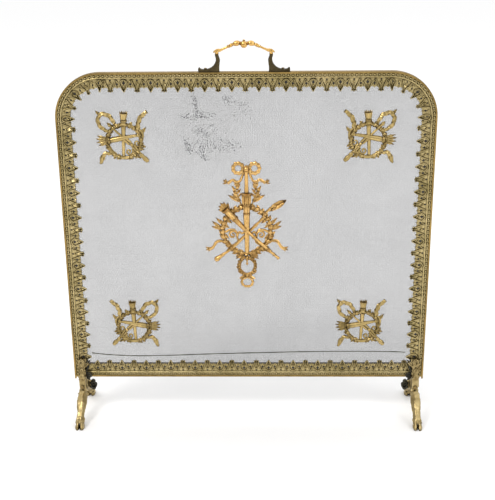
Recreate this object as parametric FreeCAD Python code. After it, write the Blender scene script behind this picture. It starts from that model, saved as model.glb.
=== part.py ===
import FreeCAD, Part
import math
import os

from FreeCAD import Vector

# Free-standing fireplace screen, millimetres.  X across the screen, -Y is the front, +Z up.
# The origin is on the floor, half way across and half way from the front feet to the rear feet.

# ---- overall sizes -----------------------------------------------------------------------------
FRAME_WIDTH = 700.0        # outside edge to outside edge
FRAME_HEIGHT = 615.0       # underside of the bottom rail to the top of the top rail
FRAME_LIFT = 80.0          # floor to the underside of the bottom rail
CORNER_RADIUS = 85.0       # rounded top corners, outside
FRAME_DEPTH = 12.0         # front to back over the rim channel
STILE_DROP = 4.0           # the sides of the rim end this far below the bottom rail

# ---- layers of the frame, from the outside edge inwards ----------------------------------------
RIM_WALL = 1.5             # outer wall of the brass channel
RIM_FLANGE = 1.2           # thickness of the channel's front and rear flanges
RIM_FRONT = 3.4            # how far the front flange reaches in from the edge
RIM_REAR = 8.0             # how far the rear flange reaches in
BEAD_WEB = 1.5             # thickness of the beaded moulding's flat web
BEAD_REACH = 11.4          # inner edge of the beaded moulding
BEAD_LINE = 6.0            # centre line of the bead row, in from the edge
BEAD_RADIUS = 2.2
FILLET_LINE = 9.9          # centre line of the thin inner ridge of the moulding
FILLET_RADIUS = 1.2
GALLERY_SHEET = 1.2        # pierced gallery strip
GALLERY_OUTER = 2.0
GALLERY_VALLEY = 27.4      # bottom of the notches between the tips
GALLERY_TIP = 36.5         # ends of the tips
GALLERY_PITCH = 49.1       # crown tip to crown tip
GALLERY_NECK = 33.0        # waist of a crown tip
MESH_SHEET = 0.6           # woven wire cloth
MESH_EDGE = 2.5
CORE_EDGE = 2.0            # flat iron bar inside the channel, wide enough to back the piercings
CORE_REACH = 27.0

# ---- depths (y) of each layer ------------------------------------------------------------------
RIM_FRONT_Y = -FRAME_DEPTH / 2.0
RIM_REAR_Y = FRAME_DEPTH / 2.0
WEB_FRONT_Y = RIM_FRONT_Y + RIM_FLANGE
GALLERY_FRONT_Y = WEB_FRONT_Y + BEAD_WEB
MESH_FRONT_Y = GALLERY_FRONT_Y + GALLERY_SHEET
MESH_REAR_Y = MESH_FRONT_Y + MESH_SHEET
CORE_REAR_Y = RIM_REAR_Y - RIM_FLANGE

# ---- heights (z) -------------------------------------------------------------------------------
RAIL_Z = FRAME_LIFT
TOP_Z = FRAME_LIFT + FRAME_HEIGHT

# ---- rear screws -------------------------------------------------------------------------------
SCREW_INSET = 5.0
SCREW_HEAD_RADIUS = 2.6
SCREW_HEAD_HEIGHT = 1.5
SCREW_SHANK_RADIUS = 1.25
SCREW_LENGTH = 6.0

# ---- brace wire --------------------------------------------------------------------------------
WIRE_RADIUS = 0.9

# ---- ornaments ---------------------------------------------------------------------------------
TROPHY_Z = RAIL_Z + 0.509 * FRAME_HEIGHT    # height of the crossing of the trophy's two diagonals
MOUNT_X = FRAME_WIDTH / 2.0 - 125.0         # corner mounts, ring centres
MOUNT_TOP_Z = TOP_Z - 127.0
MOUNT_BOTTOM_Z = RAIL_Z + 111.0
STUD_RADIUS = 1.5
STUD_TAIL = 3.4                   # threaded end behind the cloth
NUT_SIZE = 7.0                    # across the flats
NUT_HEIGHT = 2.6

# ---- handle ------------------------------------------------------------------------------------
HANDLE_X = -2.0
HANDLE_DEPTH = 9.0
HANDLE_SCREW_X = 70.0
HANDLE_SCREW_LENGTH = 14.0
PIN_RADIUS = 1.2
BALL_RADIUS = 6.6
BALL_DROP = 2.0

# ---- feet --------------------------------------------------------------------------------------
LEG_X = FRAME_WIDTH / 2.0 - 16.0
LEG_HALF_WIDTH = 7.0
BLOCK_DEPTH = 16.0         # from the middle of the frame to the face of the block
BLOCK_FOOT_Z = 53.0
KNEE_RISE = 44.0           # the knee plate climbs this far up the face of the frame
BOLT_Z = 61.0
BOLT_RADIUS = 2.5
BOLT_HEAD_RADIUS = 4.0
LEG_NUT_SIZE = 7.5         # across the flats
LEG_NUT_HEIGHT = 3.4


def export(shape, node):
    """Write one part file, checking that every solid in it is sound."""
    solids = shape.Solids
    if not solids or not all(solid.isValid() for solid in solids):
        raise ValueError("bad solid in " + node)
    shape.exportStep("parts/" + node + ".step")
    print(node, len(solids), round(sum(solid.Volume for solid in solids), 1))


def fused(shapes):
    """Join touching shapes into one solid."""
    whole = shapes[0].multiFuse(shapes[1:]).removeSplitter()
    if len(whole.Solids) != 1:
        raise ValueError("a casting came out as %d solids" % len(whole.Solids))
    return whole.Solids[0]


def box(x0, x1, y0, y1, z0, z1):
    return Part.makeBox(x1 - x0, y1 - y0, z1 - z0, Vector(x0, y0, z0))


def prism(points, y0, y1):
    """Extrude a closed outline of (x, z) points from y0 to y1."""
    corners = [Vector(x, y0, z) for x, z in points]
    face = Part.Face(Part.makePolygon(corners + corners[:1]))
    return face.extrude(Vector(0, y1 - y0, 0))


def rod_y(x, z, y0, y1, radius):
    return Part.makeCylinder(radius, y1 - y0, Vector(x, y0, z), Vector(0, 1, 0))


def rod_z(x, y, z0, z1, radius):
    return Part.makeCylinder(radius, z1 - z0, Vector(x, y, z0), Vector(0, 0, 1))


def mirrored(shape, across_x):
    """Mirror a shape left to right, about x = across_x."""
    return shape.mirror(Vector(across_x, 0, 0), Vector(1, 0, 0))


# ---- frame -------------------------------------------------------------------------------------

def arch_fill(inset, y0, y1, foot_z):
    """The whole inside of the frame outline, drawn in by inset, down to foot_z."""
    half = FRAME_WIDTH / 2.0 - inset
    top = TOP_Z - inset
    radius = CORNER_RADIUS - inset
    diagonal = radius * math.cos(math.radians(45.0))
    left_mid = Vector(-half + radius - diagonal, y0, top - radius + diagonal)
    right_mid = Vector(half - radius + diagonal, y0, top - radius + diagonal)
    foot_left = Vector(-half, y0, foot_z)
    spring_left = Vector(-half, y0, top - radius)
    crown_left = Vector(-half + radius, y0, top)
    crown_right = Vector(half - radius, y0, top)
    spring_right = Vector(half, y0, top - radius)
    foot_right = Vector(half, y0, foot_z)
    edges = [
        Part.makeLine(foot_left, spring_left),
        Part.Arc(spring_left, left_mid, crown_left).toShape(),
        Part.makeLine(crown_left, crown_right),
        Part.Arc(crown_right, right_mid, spring_right).toShape(),
        Part.makeLine(spring_right, foot_right),
        Part.makeLine(foot_right, foot_left),
    ]
    return Part.Face(Part.Wire(edges)).extrude(Vector(0, y1 - y0, 0))


def arch_band(inset, reach, y0, y1, foot_z):
    """An inverted U of even width, between two insets from the frame outline."""
    below = foot_z - CORNER_RADIUS
    return arch_fill(inset, y0, y1, foot_z).cut(arch_fill(reach, y0, y1, below))


def rail_band(inset, reach, y0, y1):
    """A straight band along the bottom rail, as long as the frame allows."""
    half = FRAME_WIDTH / 2.0 - inset
    return box(-half, half, y0, y1, RAIL_Z + inset, RAIL_Z + reach)


def ridge_arch(inset, radius, foot_z):
    """A round ridge that follows the arch on the face of the moulding."""
    half = FRAME_WIDTH / 2.0 - inset
    corner = CORNER_RADIUS - inset
    spring = TOP_Z - CORNER_RADIUS
    crown = TOP_Z - inset
    pieces = []
    for side in (-1, 1):
        pieces.append(rod_z(side * half, WEB_FRONT_Y, foot_z, spring, radius))
        start = 90.0 if side < 0 else 0.0
        ring = Part.makeTorus(corner, radius, Vector(0, 0, 0), Vector(0, 0, 1), -180, 180, 90)
        ring.rotate(Vector(0, 0, 0), Vector(0, 0, 1), start)
        ring.rotate(Vector(0, 0, 0), Vector(1, 0, 0), 90)
        ring.translate(Vector(side * (half - corner), WEB_FRONT_Y, spring))
        pieces.append(ring)
    span = 2.0 * (half - corner)
    start_x = -(half - corner)
    pieces.append(Part.makeCylinder(radius, span, Vector(start_x, WEB_FRONT_Y, crown), Vector(1, 0, 0)))
    return pieces


def ridge_rail(inset, radius, half):
    start = Vector(-half, WEB_FRONT_Y, RAIL_Z + inset)
    return Part.makeCylinder(radius, 2.0 * half, start, Vector(1, 0, 0))


def screw_places():
    """Where the rear screws go: (x, z) on the arch, then (x, z) on the bottom rail."""
    side = FRAME_WIDTH / 2.0 - SCREW_INSET
    top_run = 0.68 * (FRAME_WIDTH / 2.0 - CORNER_RADIUS)
    rail_run = 0.6 * FRAME_WIDTH / 2.0
    rises = [share * FRAME_HEIGHT for share in (0.18, 0.455, 0.73)]
    arch = [(sign * side, RAIL_Z + rise) for sign in (-1, 1) for rise in rises]
    arch += [(x, TOP_Z - SCREW_INSET) for x in (-top_run, 0.0, top_run)]
    rail = [(x, RAIL_Z + SCREW_INSET) for x in (-rail_run, 0.0, rail_run)]
    return arch, rail


def screw_shanks(places):
    tip = RIM_REAR_Y - SCREW_LENGTH
    return [rod_y(x, z, tip, RIM_REAR_Y, SCREW_SHANK_RADIUS) for x, z in places]


def rim_screws(places):
    """Round-headed screws through the rear flange into the core bar."""
    heads = []
    for (x, z), shank in zip(places, screw_shanks(places)):
        head = rod_y(x, z, RIM_REAR_Y, RIM_REAR_Y + SCREW_HEAD_HEIGHT, SCREW_HEAD_RADIUS)
        slot_depth = SCREW_HEAD_HEIGHT / 2.0
        slot = box(x - SCREW_HEAD_RADIUS, x + SCREW_HEAD_RADIUS,
                   RIM_REAR_Y + slot_depth, RIM_REAR_Y + SCREW_HEAD_HEIGHT, z - 0.3, z + 0.3)
        heads.append(fused([head.cut(slot), shank]))
    return Part.makeCompound(heads)


def rim_arch():
    """The bent brass channel: left side, top and right side in one length."""
    foot = RAIL_Z - STILE_DROP
    wall = arch_band(0.0, RIM_WALL, RIM_FRONT_Y, RIM_REAR_Y, foot)
    front = arch_band(0.0, RIM_FRONT, RIM_FRONT_Y, WEB_FRONT_Y, foot)
    rear = arch_band(0.0, RIM_REAR, CORE_REAR_Y, RIM_REAR_Y, foot)
    return fused([wall, front, rear])


def rim_rail(arch):
    """The straight channel along the bottom, fitted between the sides."""
    wall = rail_band(0.0, RIM_WALL, RIM_FRONT_Y, RIM_REAR_Y)
    front = rail_band(0.0, RIM_FRONT, RIM_FRONT_Y, WEB_FRONT_Y)
    rear = rail_band(0.0, RIM_REAR, CORE_REAR_Y, RIM_REAR_Y)
    return fused([wall, front, rear]).cut(arch)


def bead_arch():
    """The beaded moulding round the sides and top."""
    foot = RAIL_Z + RIM_WALL
    web = arch_band(RIM_WALL, BEAD_REACH, WEB_FRONT_Y, GALLERY_FRONT_Y, foot)
    ridge_foot = RAIL_Z + RIM_FRONT
    ridges = ridge_arch(BEAD_LINE, BEAD_RADIUS, ridge_foot)
    ridges += ridge_arch(FILLET_LINE, FILLET_RADIUS, ridge_foot)
    behind = box(-FRAME_WIDTH, FRAME_WIDTH, GALLERY_FRONT_Y, FRAME_DEPTH, 0.0, 2.0 * TOP_Z)
    return fused([web] + ridges).cut(behind).Solids[0]


def bead_rail():
    """The beaded moulding along the bottom, butted between the sides."""
    half = FRAME_WIDTH / 2.0 - BEAD_REACH
    web = box(-half, half, WEB_FRONT_Y, GALLERY_FRONT_Y, RAIL_Z + RIM_WALL, RAIL_Z + BEAD_REACH)
    ridges = [ridge_rail(BEAD_LINE, BEAD_RADIUS, half), ridge_rail(FILLET_LINE, FILLET_RADIUS, half)]
    behind = box(-FRAME_WIDTH, FRAME_WIDTH, GALLERY_FRONT_Y, FRAME_DEPTH, 0.0, TOP_Z)
    return fused([web] + ridges).cut(behind).Solids[0]


def core_arch():
    return arch_band(CORE_EDGE, CORE_REACH, MESH_REAR_Y, CORE_REAR_Y, RAIL_Z + RIM_WALL)


def core_rail():
    half = FRAME_WIDTH / 2.0 - CORE_REACH
    return box(-half, half, MESH_REAR_Y, CORE_REAR_Y, RAIL_Z + RIM_WALL, RAIL_Z + CORE_REACH)


# ---- gallery -----------------------------------------------------------------------------------

def crown_tip(along, squeeze):
    """Inner edge of one crown-shaped tip: (along the strip, in from the edge)."""
    outline = [(-8.4, GALLERY_VALLEY), (-2.9, GALLERY_NECK - 0.6), (-3.0, GALLERY_NECK + 0.4),
               (-4.3, GALLERY_NECK + 1.4), (-3.6, GALLERY_TIP - 0.9), (-1.6, GALLERY_TIP - 0.6)]
    right = [(-x, inset) for x, inset in reversed(outline)]
    return [(along + x * squeeze, inset) for x, inset in outline + [(0.0, GALLERY_TIP)] + right]


def stud_tip(along, squeeze):
    """The small bud in the notch between two tips."""
    outline = [(-1.7, GALLERY_VALLEY), (-1.3, GALLERY_VALLEY + 1.3), (0.0, GALLERY_VALLEY + 1.9),
               (1.3, GALLERY_VALLEY + 1.3), (1.7, GALLERY_VALLEY)]
    return [(along + x * squeeze, inset) for x, inset in outline]


def leaf_tip(along, squeeze):
    """Inner edge of one pointed tip."""
    outline = [(-7.2, GALLERY_VALLEY), (0.0, GALLERY_TIP), (7.2, GALLERY_VALLEY)]
    return [(along + x * squeeze, inset) for x, inset in outline]


def gallery_edge(start, end, crown_at, pitch, squeeze):
    """The whole jagged inner edge between two places along a strip."""
    edge = []
    quarter = pitch / 4.0
    first = math.ceil((start - crown_at) / quarter)
    last = math.floor((end - crown_at) / quarter)
    for step in range(first, last + 1):
        along = crown_at + step * quarter
        if step % 4 == 0:
            tip = crown_tip(along, squeeze)
        elif step % 4 == 2:
            tip = leaf_tip(along, squeeze)
        else:
            tip = stud_tip(along, squeeze)
        if tip[0][0] > start and tip[-1][0] < end:
            edge += tip
    return edge


def gallery_holes(start, end, crown_at, pitch, squeeze):
    """The piercings: one in each pointed tip, one each side of every crown."""
    holes = []
    half_pitch = pitch / 2.0
    first = math.ceil((start - crown_at) / half_pitch)
    last = math.floor((end - crown_at) / half_pitch)
    for step in range(first, last + 1):
        along = crown_at + step * half_pitch
        if along - 9.0 < start or along + 9.0 > end:
            continue
        if step % 2:
            holes.append([(-2.6, 25.6), (0.0, 22.0), (2.6, 25.6)])
        else:
            holes.append([(-6.6, 26.6), (-4.6, 24.0), (-3.6, 27.6)])
            holes.append([(3.6, 27.6), (4.6, 24.0), (6.6, 26.6)])
        count = 1 if step % 2 else 2
        holes[-count:] = [[(along + x * squeeze, inset) for x, inset in hole] for hole in holes[-count:]]
    return holes


def straight_gallery(start, end, crown_at, place):
    """A straight gallery strip; place(along, inset) gives its (x, z) on the frame."""
    edge = gallery_edge(start, end, crown_at, GALLERY_PITCH, 1.0)
    outline = [(start, GALLERY_OUTER), (start, GALLERY_VALLEY)] + edge
    outline += [(end, GALLERY_VALLEY), (end, GALLERY_OUTER)]
    strip = prism([place(*point) for point in outline], GALLERY_FRONT_Y, MESH_FRONT_Y)
    for hole in gallery_holes(start, end, crown_at, GALLERY_PITCH, 1.0):
        strip = strip.cut(prism([place(*point) for point in hole], GALLERY_FRONT_Y, MESH_FRONT_Y))
    return strip


def mitre(side):
    """Everything on the bottom rail's side of the two lower mitre lines (or the reverse, for 1)."""
    half = FRAME_WIDTH / 2.0
    reach = GALLERY_TIP + 8.0
    rail = prism([(-half, RAIL_Z), (half, RAIL_Z), (half - reach, RAIL_Z + reach),
                  (-half + reach, RAIL_Z + reach)], GALLERY_FRONT_Y, MESH_FRONT_Y)
    if side == 0:
        return rail
    return box(-half, half, GALLERY_FRONT_Y, MESH_FRONT_Y, RAIL_Z, TOP_Z).cut(rail)


def gallery_top():
    end = FRAME_WIDTH / 2.0 - CORNER_RADIUS
    return straight_gallery(-end, end, 0.0, lambda along, inset: (along, TOP_Z - inset))


def gallery_rail():
    half = FRAME_WIDTH / 2.0
    start = -half + GALLERY_OUTER
    strip = straight_gallery(start, -start, GALLERY_PITCH / 3.0, lambda along, inset: (along, RAIL_Z + inset))
    return strip.common(mitre(0))


def gallery_side(sign):
    half = FRAME_WIDTH / 2.0
    end = TOP_Z - CORNER_RADIUS
    strip = straight_gallery(RAIL_Z + GALLERY_OUTER, end, RAIL_Z + 19.0,
                             lambda along, inset: (sign * (half - inset), along))
    return strip.common(mitre(1))


def gallery_corner(sign):
    """The strip pressed round a top corner, its tips squeezed together."""
    centre_x = FRAME_WIDTH / 2.0 - CORNER_RADIUS
    centre_z = TOP_Z - CORNER_RADIUS
    quarter_turn = 90.0
    pitch = quarter_turn / 2.0

    def place(angle, inset):
        radius = CORNER_RADIUS - inset
        turn = math.radians(angle)
        return sign * (centre_x + radius * math.cos(turn)), centre_z + radius * math.sin(turn)

    edge = gallery_edge(0.0, quarter_turn, pitch / 2.0, pitch, 0.82)
    steps = 30
    outer = [(quarter_turn * step / steps, GALLERY_OUTER) for step in range(steps, -1, -1)]
    outline = [(0.0, GALLERY_VALLEY)] + edge + [(quarter_turn, GALLERY_VALLEY)] + outer
    return prism([place(*point) for point in outline], GALLERY_FRONT_Y, MESH_FRONT_Y)


# ---- cloth and brace wire ----------------------------------------------------------------------

def mesh_panel(stud_places):
    """The wire cloth, as one thin sheet with a hole for each stud."""
    sheet = arch_fill(MESH_EDGE, MESH_FRONT_Y, MESH_REAR_Y, RAIL_Z + MESH_EDGE)
    holes = [rod_y(x, z, MESH_FRONT_Y, MESH_REAR_Y, STUD_RADIUS) for x, z in stud_places]
    return sheet.cut(holes)


def brace_wire():
    """A slack wire that lies on the cloth, low down, from side to side."""
    y = MESH_FRONT_Y - WIRE_RADIUS
    half = FRAME_WIDTH / 2.0 - GALLERY_TIP - 1.0
    route = [(-1.0, 52.0), (-0.90, 48.0), (-0.72, 45.0), (-0.50, 46.5), (-0.115, 51.0),
             (0.48, 55.5), (0.91, 54.8), (1.0, 53.4)]
    points = [Vector(share * half, y, RAIL_Z + rise) for share, rise in route]
    edges = []
    start = points[0]
    for before, corner, after in zip(points, points[1:], points[2:]):
        run_in = (corner - before).normalize()
        run_out = (after - corner).normalize()
        reach = 0.45 * min(corner.distanceToPoint(before), corner.distanceToPoint(after))
        arc_start = corner - run_in * reach
        arc_end = corner + run_out * reach
        half_turn = run_in.getAngle(run_out) / 2.0
        radius = reach / math.tan(half_turn)
        inward = (run_out - run_in).normalize()
        arc_mid = corner + inward * (radius / math.cos(half_turn) - radius)
        edges.append(Part.makeLine(start, arc_start))
        edges.append(Part.Arc(arc_start, arc_mid, arc_end).toShape())
        start = arc_end
    edges.append(Part.makeLine(start, points[-1]))
    section = Part.Wire(Part.makeCircle(WIRE_RADIUS, points[0], points[1] - points[0]))
    return Part.Wire(edges).makePipeShell([section], True, True)


# ---- castings: shared shapes -------------------------------------------------------------------

def ribbon(points, widths, lift, thick):
    """A flat strap along a chain of (x, z) points; lift is its back, above the cloth."""
    left = []
    right = []
    for index, (x, z) in enumerate(points):
        before = points[max(index - 1, 0)]
        after = points[min(index + 1, len(points) - 1)]
        dx, dz = after[0] - before[0], after[1] - before[1]
        length = math.hypot(dx, dz)
        half = widths[index] / 2.0
        left.append((x - dz / length * half, z + dx / length * half))
        right.append((x + dz / length * half, z - dx / length * half))
    back = MESH_FRONT_Y - lift
    return prism(left + right[::-1], back - thick, back)


def leaf(root, tip, width, lift, thick):
    """A pointed leaf from root to tip."""
    dx, dz = tip[0] - root[0], tip[1] - root[1]
    chain = [(root[0] + dx * share, root[1] + dz * share) for share in (0.0, 0.3, 0.6, 0.85, 1.0)]
    widths = [width * share for share in (0.45, 0.95, 1.0, 0.55, 0.12)]
    return ribbon(chain, widths, lift, thick)


def spar(start, end, radius_start, radius_end, lift):
    """A round tapering rod between two (x, z) points, its axis lift above the cloth."""
    y = MESH_FRONT_Y - lift
    base = Vector(start[0], y, start[1])
    axis = Vector(end[0], y, end[1]) - base
    if abs(radius_start - radius_end) < 1e-6:
        return Part.makeCylinder(radius_start, axis.Length, base, axis)
    return Part.makeCone(radius_start, radius_end, axis.Length, base, axis)


def knob(place, radius, lift):
    return Part.makeSphere(radius, Vector(place[0], MESH_FRONT_Y - lift, place[1]))


def ring(centre, radius, tube, lift):
    return Part.makeTorus(radius, tube, Vector(centre[0], MESH_FRONT_Y - lift, centre[1]), Vector(0, 1, 0))


def oval(centre, half_x, half_z, width, lift, thick):
    """A flat oval loop."""
    def outline(grow):
        steps = 28
        turns = [2.0 * math.pi * step / steps for step in range(steps)]
        return [(centre[0] + (half_x + grow) * math.cos(turn), centre[1] + (half_z + grow) * math.sin(turn))
                for turn in turns]
    back = MESH_FRONT_Y - lift
    outer = prism(outline(width / 2.0), back - thick, back)
    return outer.cut(prism(outline(-width / 2.0), back - thick, back))


def wreath_leaves(radius, count, length, width, skip):
    """Pairs of leaves that climb both sides of a ring from its foot."""
    leaves = []
    for side in (-1, 1):
        for step in range(count):
            turn = math.radians(-90.0 + side * (skip + (180.0 - 2.0 * skip) * step / (count - 1)))
            root = (radius * math.cos(turn), radius * math.sin(turn))
            for lean in (-1, 1):
                aim = turn + side * math.radians(90.0 - lean * 38.0)
                tip = (root[0] + length * math.cos(aim), root[1] + length * math.sin(aim))
                leaves.append(leaf(root, tip, width, 1.4 + 0.3 * (lean + 1), 2.2))
    return leaves


def casting(shapes, x, z):
    """Fuse a casting drawn about the origin, trim its back flat and put it in place."""
    whole = fused(shapes)
    behind = box(-200.0, 200.0, MESH_FRONT_Y, 60.0, -200.0, 200.0)
    whole = whole.cut(behind)
    if len(whole.Solids) != 1:
        raise ValueError("trimming broke a casting")
    whole = whole.Solids[0]
    whole.translate(Vector(x, 0, z))
    return whole


# ---- centre trophy -----------------------------------------------------------------------------

def bow_and_tails():
    """The ribbon bow at the top and its two forked tails."""
    shapes = []
    for side in (-1, 1):
        shapes.append(oval((side * 15.5, 122.5), 9.0, 9.8, 6.4, 1.0, 4.0))
        tail = [(side * 2.0, 114.0), (side * 5.0, 106.0), (side * 9.0, 96.0), (side * 14.0, 94.5),
                (side * 22.0, 99.5), (side * 29.0, 94.0), (side * 35.0, 92.5), (side * 40.0, 97.0)]
        shapes.append(ribbon(tail, [4.0, 5.0, 5.0, 4.6, 5.2, 5.4, 5.6, 6.0], 1.4, 2.6))
        shapes.append(leaf((side * 38.0, 96.0), (side * 45.0, 100.0), 3.6, 1.0, 2.6))
        shapes.append(leaf((side * 38.0, 95.0), (side * 45.0, 92.5), 3.6, 1.0, 2.6))
    shapes.append(knob((0.0, 121.0), 5.2, 2.4))
    return shapes


def trophy_staff():
    """The upright torch that carries the whole trophy."""
    middle = 3.0
    return [
        spar((0.0, 119.0), (0.0, 72.0), 3.4, 4.2, middle),
        spar((0.0, 73.5), (0.0, 70.0), 10.2, 10.2, middle),
        spar((0.0, 70.0), (0.0, 52.5), 8.4, 8.0, middle),
        spar((0.0, 52.5), (0.0, 49.0), 8.8, 8.8, middle),
        spar((0.0, 49.0), (0.0, 35.0), 6.4, 5.2, middle),
        spar((0.0, 35.0), (0.0, 31.5), 6.6, 6.6, middle),
        spar((0.0, 31.5), (0.0, -48.0), 5.9, 3.4, middle),
        spar((0.0, -45.0), (0.0, -61.0), 2.2, 2.2, 2.0),
        knob((0.0, -60.4), 3.2, 2.4),
        spar((0.0, -60.0), (0.0, -69.0), 1.4, 1.4, 1.8),
        knob((0.0, -69.5), 2.4, 2.2),
    ]


def trophy_laurels():
    """Sprays of laurel either side of the staff."""
    shapes = []
    for side in (-1, 1):
        stem = [(side * 9.0, 50.0), (side * 14.0, 60.0), (side * 20.0, 72.0), (side * 18.0, 86.0)]
        shapes.append(ribbon(stem, [3.0, 3.0, 2.8, 2.2], 0.8, 2.4))
        shapes.append(leaf((side * 13.0, 59.0), (side * 33.5, 71.5), 6.4, 1.6, 2.6))
        for root, tip in (((17.0, 68.0), (24.5, 82.0)), ((19.5, 74.0), (11.0, 82.0)),
                          ((19.0, 80.0), (24.0, 91.0)), ((18.6, 82.0), (13.0, 92.5)),
                          ((18.0, 70.0), (9.5, 73.0)), ((20.0, 72.0), (27.0, 76.0))):
            shapes.append(leaf((side * root[0], root[1]), (side * tip[0], tip[1]), 5.4, 1.2, 2.4))
    return shapes


def trophy_wreath():
    """The large laurel ring, its loose leaves and the two small inner loops."""
    shapes = [ring((0.0, 0.0), 47.0, 3.4, 3.0)]
    shapes += wreath_leaves(47.0, 9, 13.5, 6.6, 16.0)
    for side in (-1, 1):
        shapes.append(leaf((side * 46.0, 2.0), (side * 65.5, 18.5), 7.0, 1.2, 2.8))
        shapes.append(leaf((side * 46.0, 4.0), (side * 65.0, 7.0), 6.0, 1.8, 2.8))
        shapes.append(oval((side * 26.5, -10.5), 8.6, 9.4, 3.6, 1.0, 3.2))
        shapes.append(ribbon([(side * 18.0, -10.0), (side * 10.0, -6.0), (side * 2.0, -1.0)],
                             [3.4, 3.6, 4.0], 1.0, 3.0))
        shapes.append(ribbon([(side * 31.0, -3.0), (side * 38.0, -2.0), (side * 46.0, 2.0)],
                             [3.4, 3.6, 4.0], 1.0, 3.0))
        drape = [(side * 37.0, -27.0), (side * 48.0, -22.5), (side * 58.0, -23.0), (side * 64.0, -30.0),
                 (side * 69.0, -37.0), (side * 74.0, -38.5)]
        shapes.append(ribbon(drape, [5.0, 5.6, 6.0, 6.4, 6.2, 6.0], 1.6, 2.6))
        shapes.append(leaf((side * 72.0, -37.5), (side * 79.0, -34.5), 4.0, 1.0, 2.6))
        shapes.append(leaf((side * 71.0, -38.0), (side * 74.5, -45.0), 4.0, 1.0, 2.6))
    return shapes


def trophy_arms():
    """The quiver with its spear, and the leaf-bladed torch, crossing at the middle."""
    high = 4.6
    quiver = [
        spar((-38.0, 40.0), (-22.0, 22.5), 8.2, 7.4, 4.0),
        spar((-40.5, 42.5), (-37.0, 39.0), 9.4, 9.4, 4.0),
        spar((-23.5, 24.0), (-20.5, 21.0), 8.4, 8.4, 4.0),
        spar((-21.5, 22.0), (-2.0, 1.5), 5.8, 4.2, high),
        spar((-2.0, 1.5), (40.0, -38.5), 3.6, 3.0, high),
        spar((38.5, -37.0), (60.0, -57.5), 3.8, 2.2, high),
        knob((45.5, -43.7), 3.9, high),
    ]
    for tip in ((-50.5, 43.0), (-48.0, 50.0), (-41.5, 55.5), (-34.5, 53.0)):
        quiver.append(leaf((-38.0, 40.5), tip, 7.0, 1.6, 4.4))
    torch = [
        spar((36.0, 27.5), (-30.0, -37.5), 2.6, 3.0, 3.2),
        spar((36.5, 38.5), (36.0, 27.5), 1.8, 2.2, 3.0),
        spar((-29.0, -36.5), (-44.0, -47.0), 3.2, 2.6, 3.2),
        spar((-43.0, -46.0), (-58.0, -60.5), 3.0, 5.0, 3.2),
        knob((-57.5, -60.0), 5.4, 3.2),
        ribbon([(36.0, 37.5), (44.0, 43.5), (53.0, 50.5), (62.0, 55.5), (70.5, 58.0)],
               [4.0, 6.0, 9.5, 10.0, 4.0], 1.2, 4.0),
        knob((0.0, 0.0), 7.0, 2.6),
    ]
    return quiver + torch


def trophy_drop():
    """The small wreath and ring that hang below."""
    shapes = [
        oval((0.0, -73.5), 15.0, 19.0, 7.2, 1.0, 4.6),
        ring((0.0, -107.0), 10.2, 3.4, 2.8),
        knob((0.0, -93.5), 4.4, 2.4),
        knob((0.0, -51.0), 5.0, 2.8),
        ribbon([(-14.0, -48.0), (0.0, -56.0), (14.0, -48.0)], [4.0, 4.4, 4.0], 1.2, 3.6),
    ]
    for side in (-1, 1):
        for turn in (-52.0, -22.0, 8.0, 38.0):
            aim = math.radians(turn)
            root = (side * 15.0 * math.cos(aim), -73.5 + 19.0 * math.sin(aim))
            tip = (side * (root[0] * side + 6.0), root[1] + 7.5)
            shapes.append(leaf(root, tip, 5.0, 1.6, 2.8))
    return shapes


def centre_trophy():
    shapes = bow_and_tails() + trophy_staff() + trophy_laurels() + trophy_wreath()
    shapes += trophy_arms() + trophy_drop()
    return casting(shapes, 0.0, TROPHY_Z)


# ---- corner mounts -----------------------------------------------------------------------------

def mount_torch(at):
    """The upright torch of a corner mount."""
    flames = [at(-8.6, 56.0), at(-5.2, 53.0), at(-2.6, 57.5), at(0.4, 53.6), at(3.4, 57.8),
              at(6.0, 53.2), at(9.4, 56.0), at(6.2, 40.0), at(-5.4, 40.0)]
    return [
        prism(flames, MESH_FRONT_Y - 5.6, MESH_FRONT_Y - 0.4),
        spar(at(0.0, 41.0), at(0.0, 37.5), 7.4, 7.4, 3.2),
        spar(at(0.0, 38.0), at(0.0, 30.0), 5.4, 4.4, 3.2),
        spar(at(0.0, 30.2), at(0.0, 27.0), 5.8, 5.8, 3.2),
        spar(at(0.0, 27.5), at(-2.4, -26.0), 4.7, 2.4, 3.2),
        knob(at(-2.4, -26.0), 3.0, 2.8),
    ]


def mount_quiver(at):
    """The cross-lying quiver, with its feathered end to the left."""
    shapes = [
        spar(at(-30.0, 1.0), at(-27.0, 1.6), 7.0, 7.0, 3.2),
        spar(at(-27.5, 1.5), at(26.0, 11.5), 5.2, 3.0, 4.0),
        spar(at(-8.0, 5.0), at(-5.0, 5.6), 5.6, 5.6, 4.0),
        knob(at(26.0, 11.5), 4.0, 3.4),
    ]
    for tip in (at(-52.0, 9.0), at(-54.0, 1.0), at(-51.5, -7.0)):
        shapes.append(leaf(at(-27.0, 1.5), tip, 9.0, 1.2, 4.6))
    return shapes


def mount_club(at):
    """The diagonal club from upper left to lower right."""
    return [
        spar(at(-25.0, 29.5), at(11.0, -3.6), 2.6, 3.0, 3.4),
        knob(at(11.0, -3.6), 4.2, 3.2),
        spar(at(11.0, -3.6), at(27.0, -22.5), 3.3, 3.6, 3.4),
        spar(at(26.0, -21.5), at(42.0, -37.5), 4.2, 6.0, 3.4),
        knob(at(42.0, -37.5), 6.2, 3.2),
        knob(at(-25.0, 29.5), 4.0, 2.6),
    ]


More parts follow.
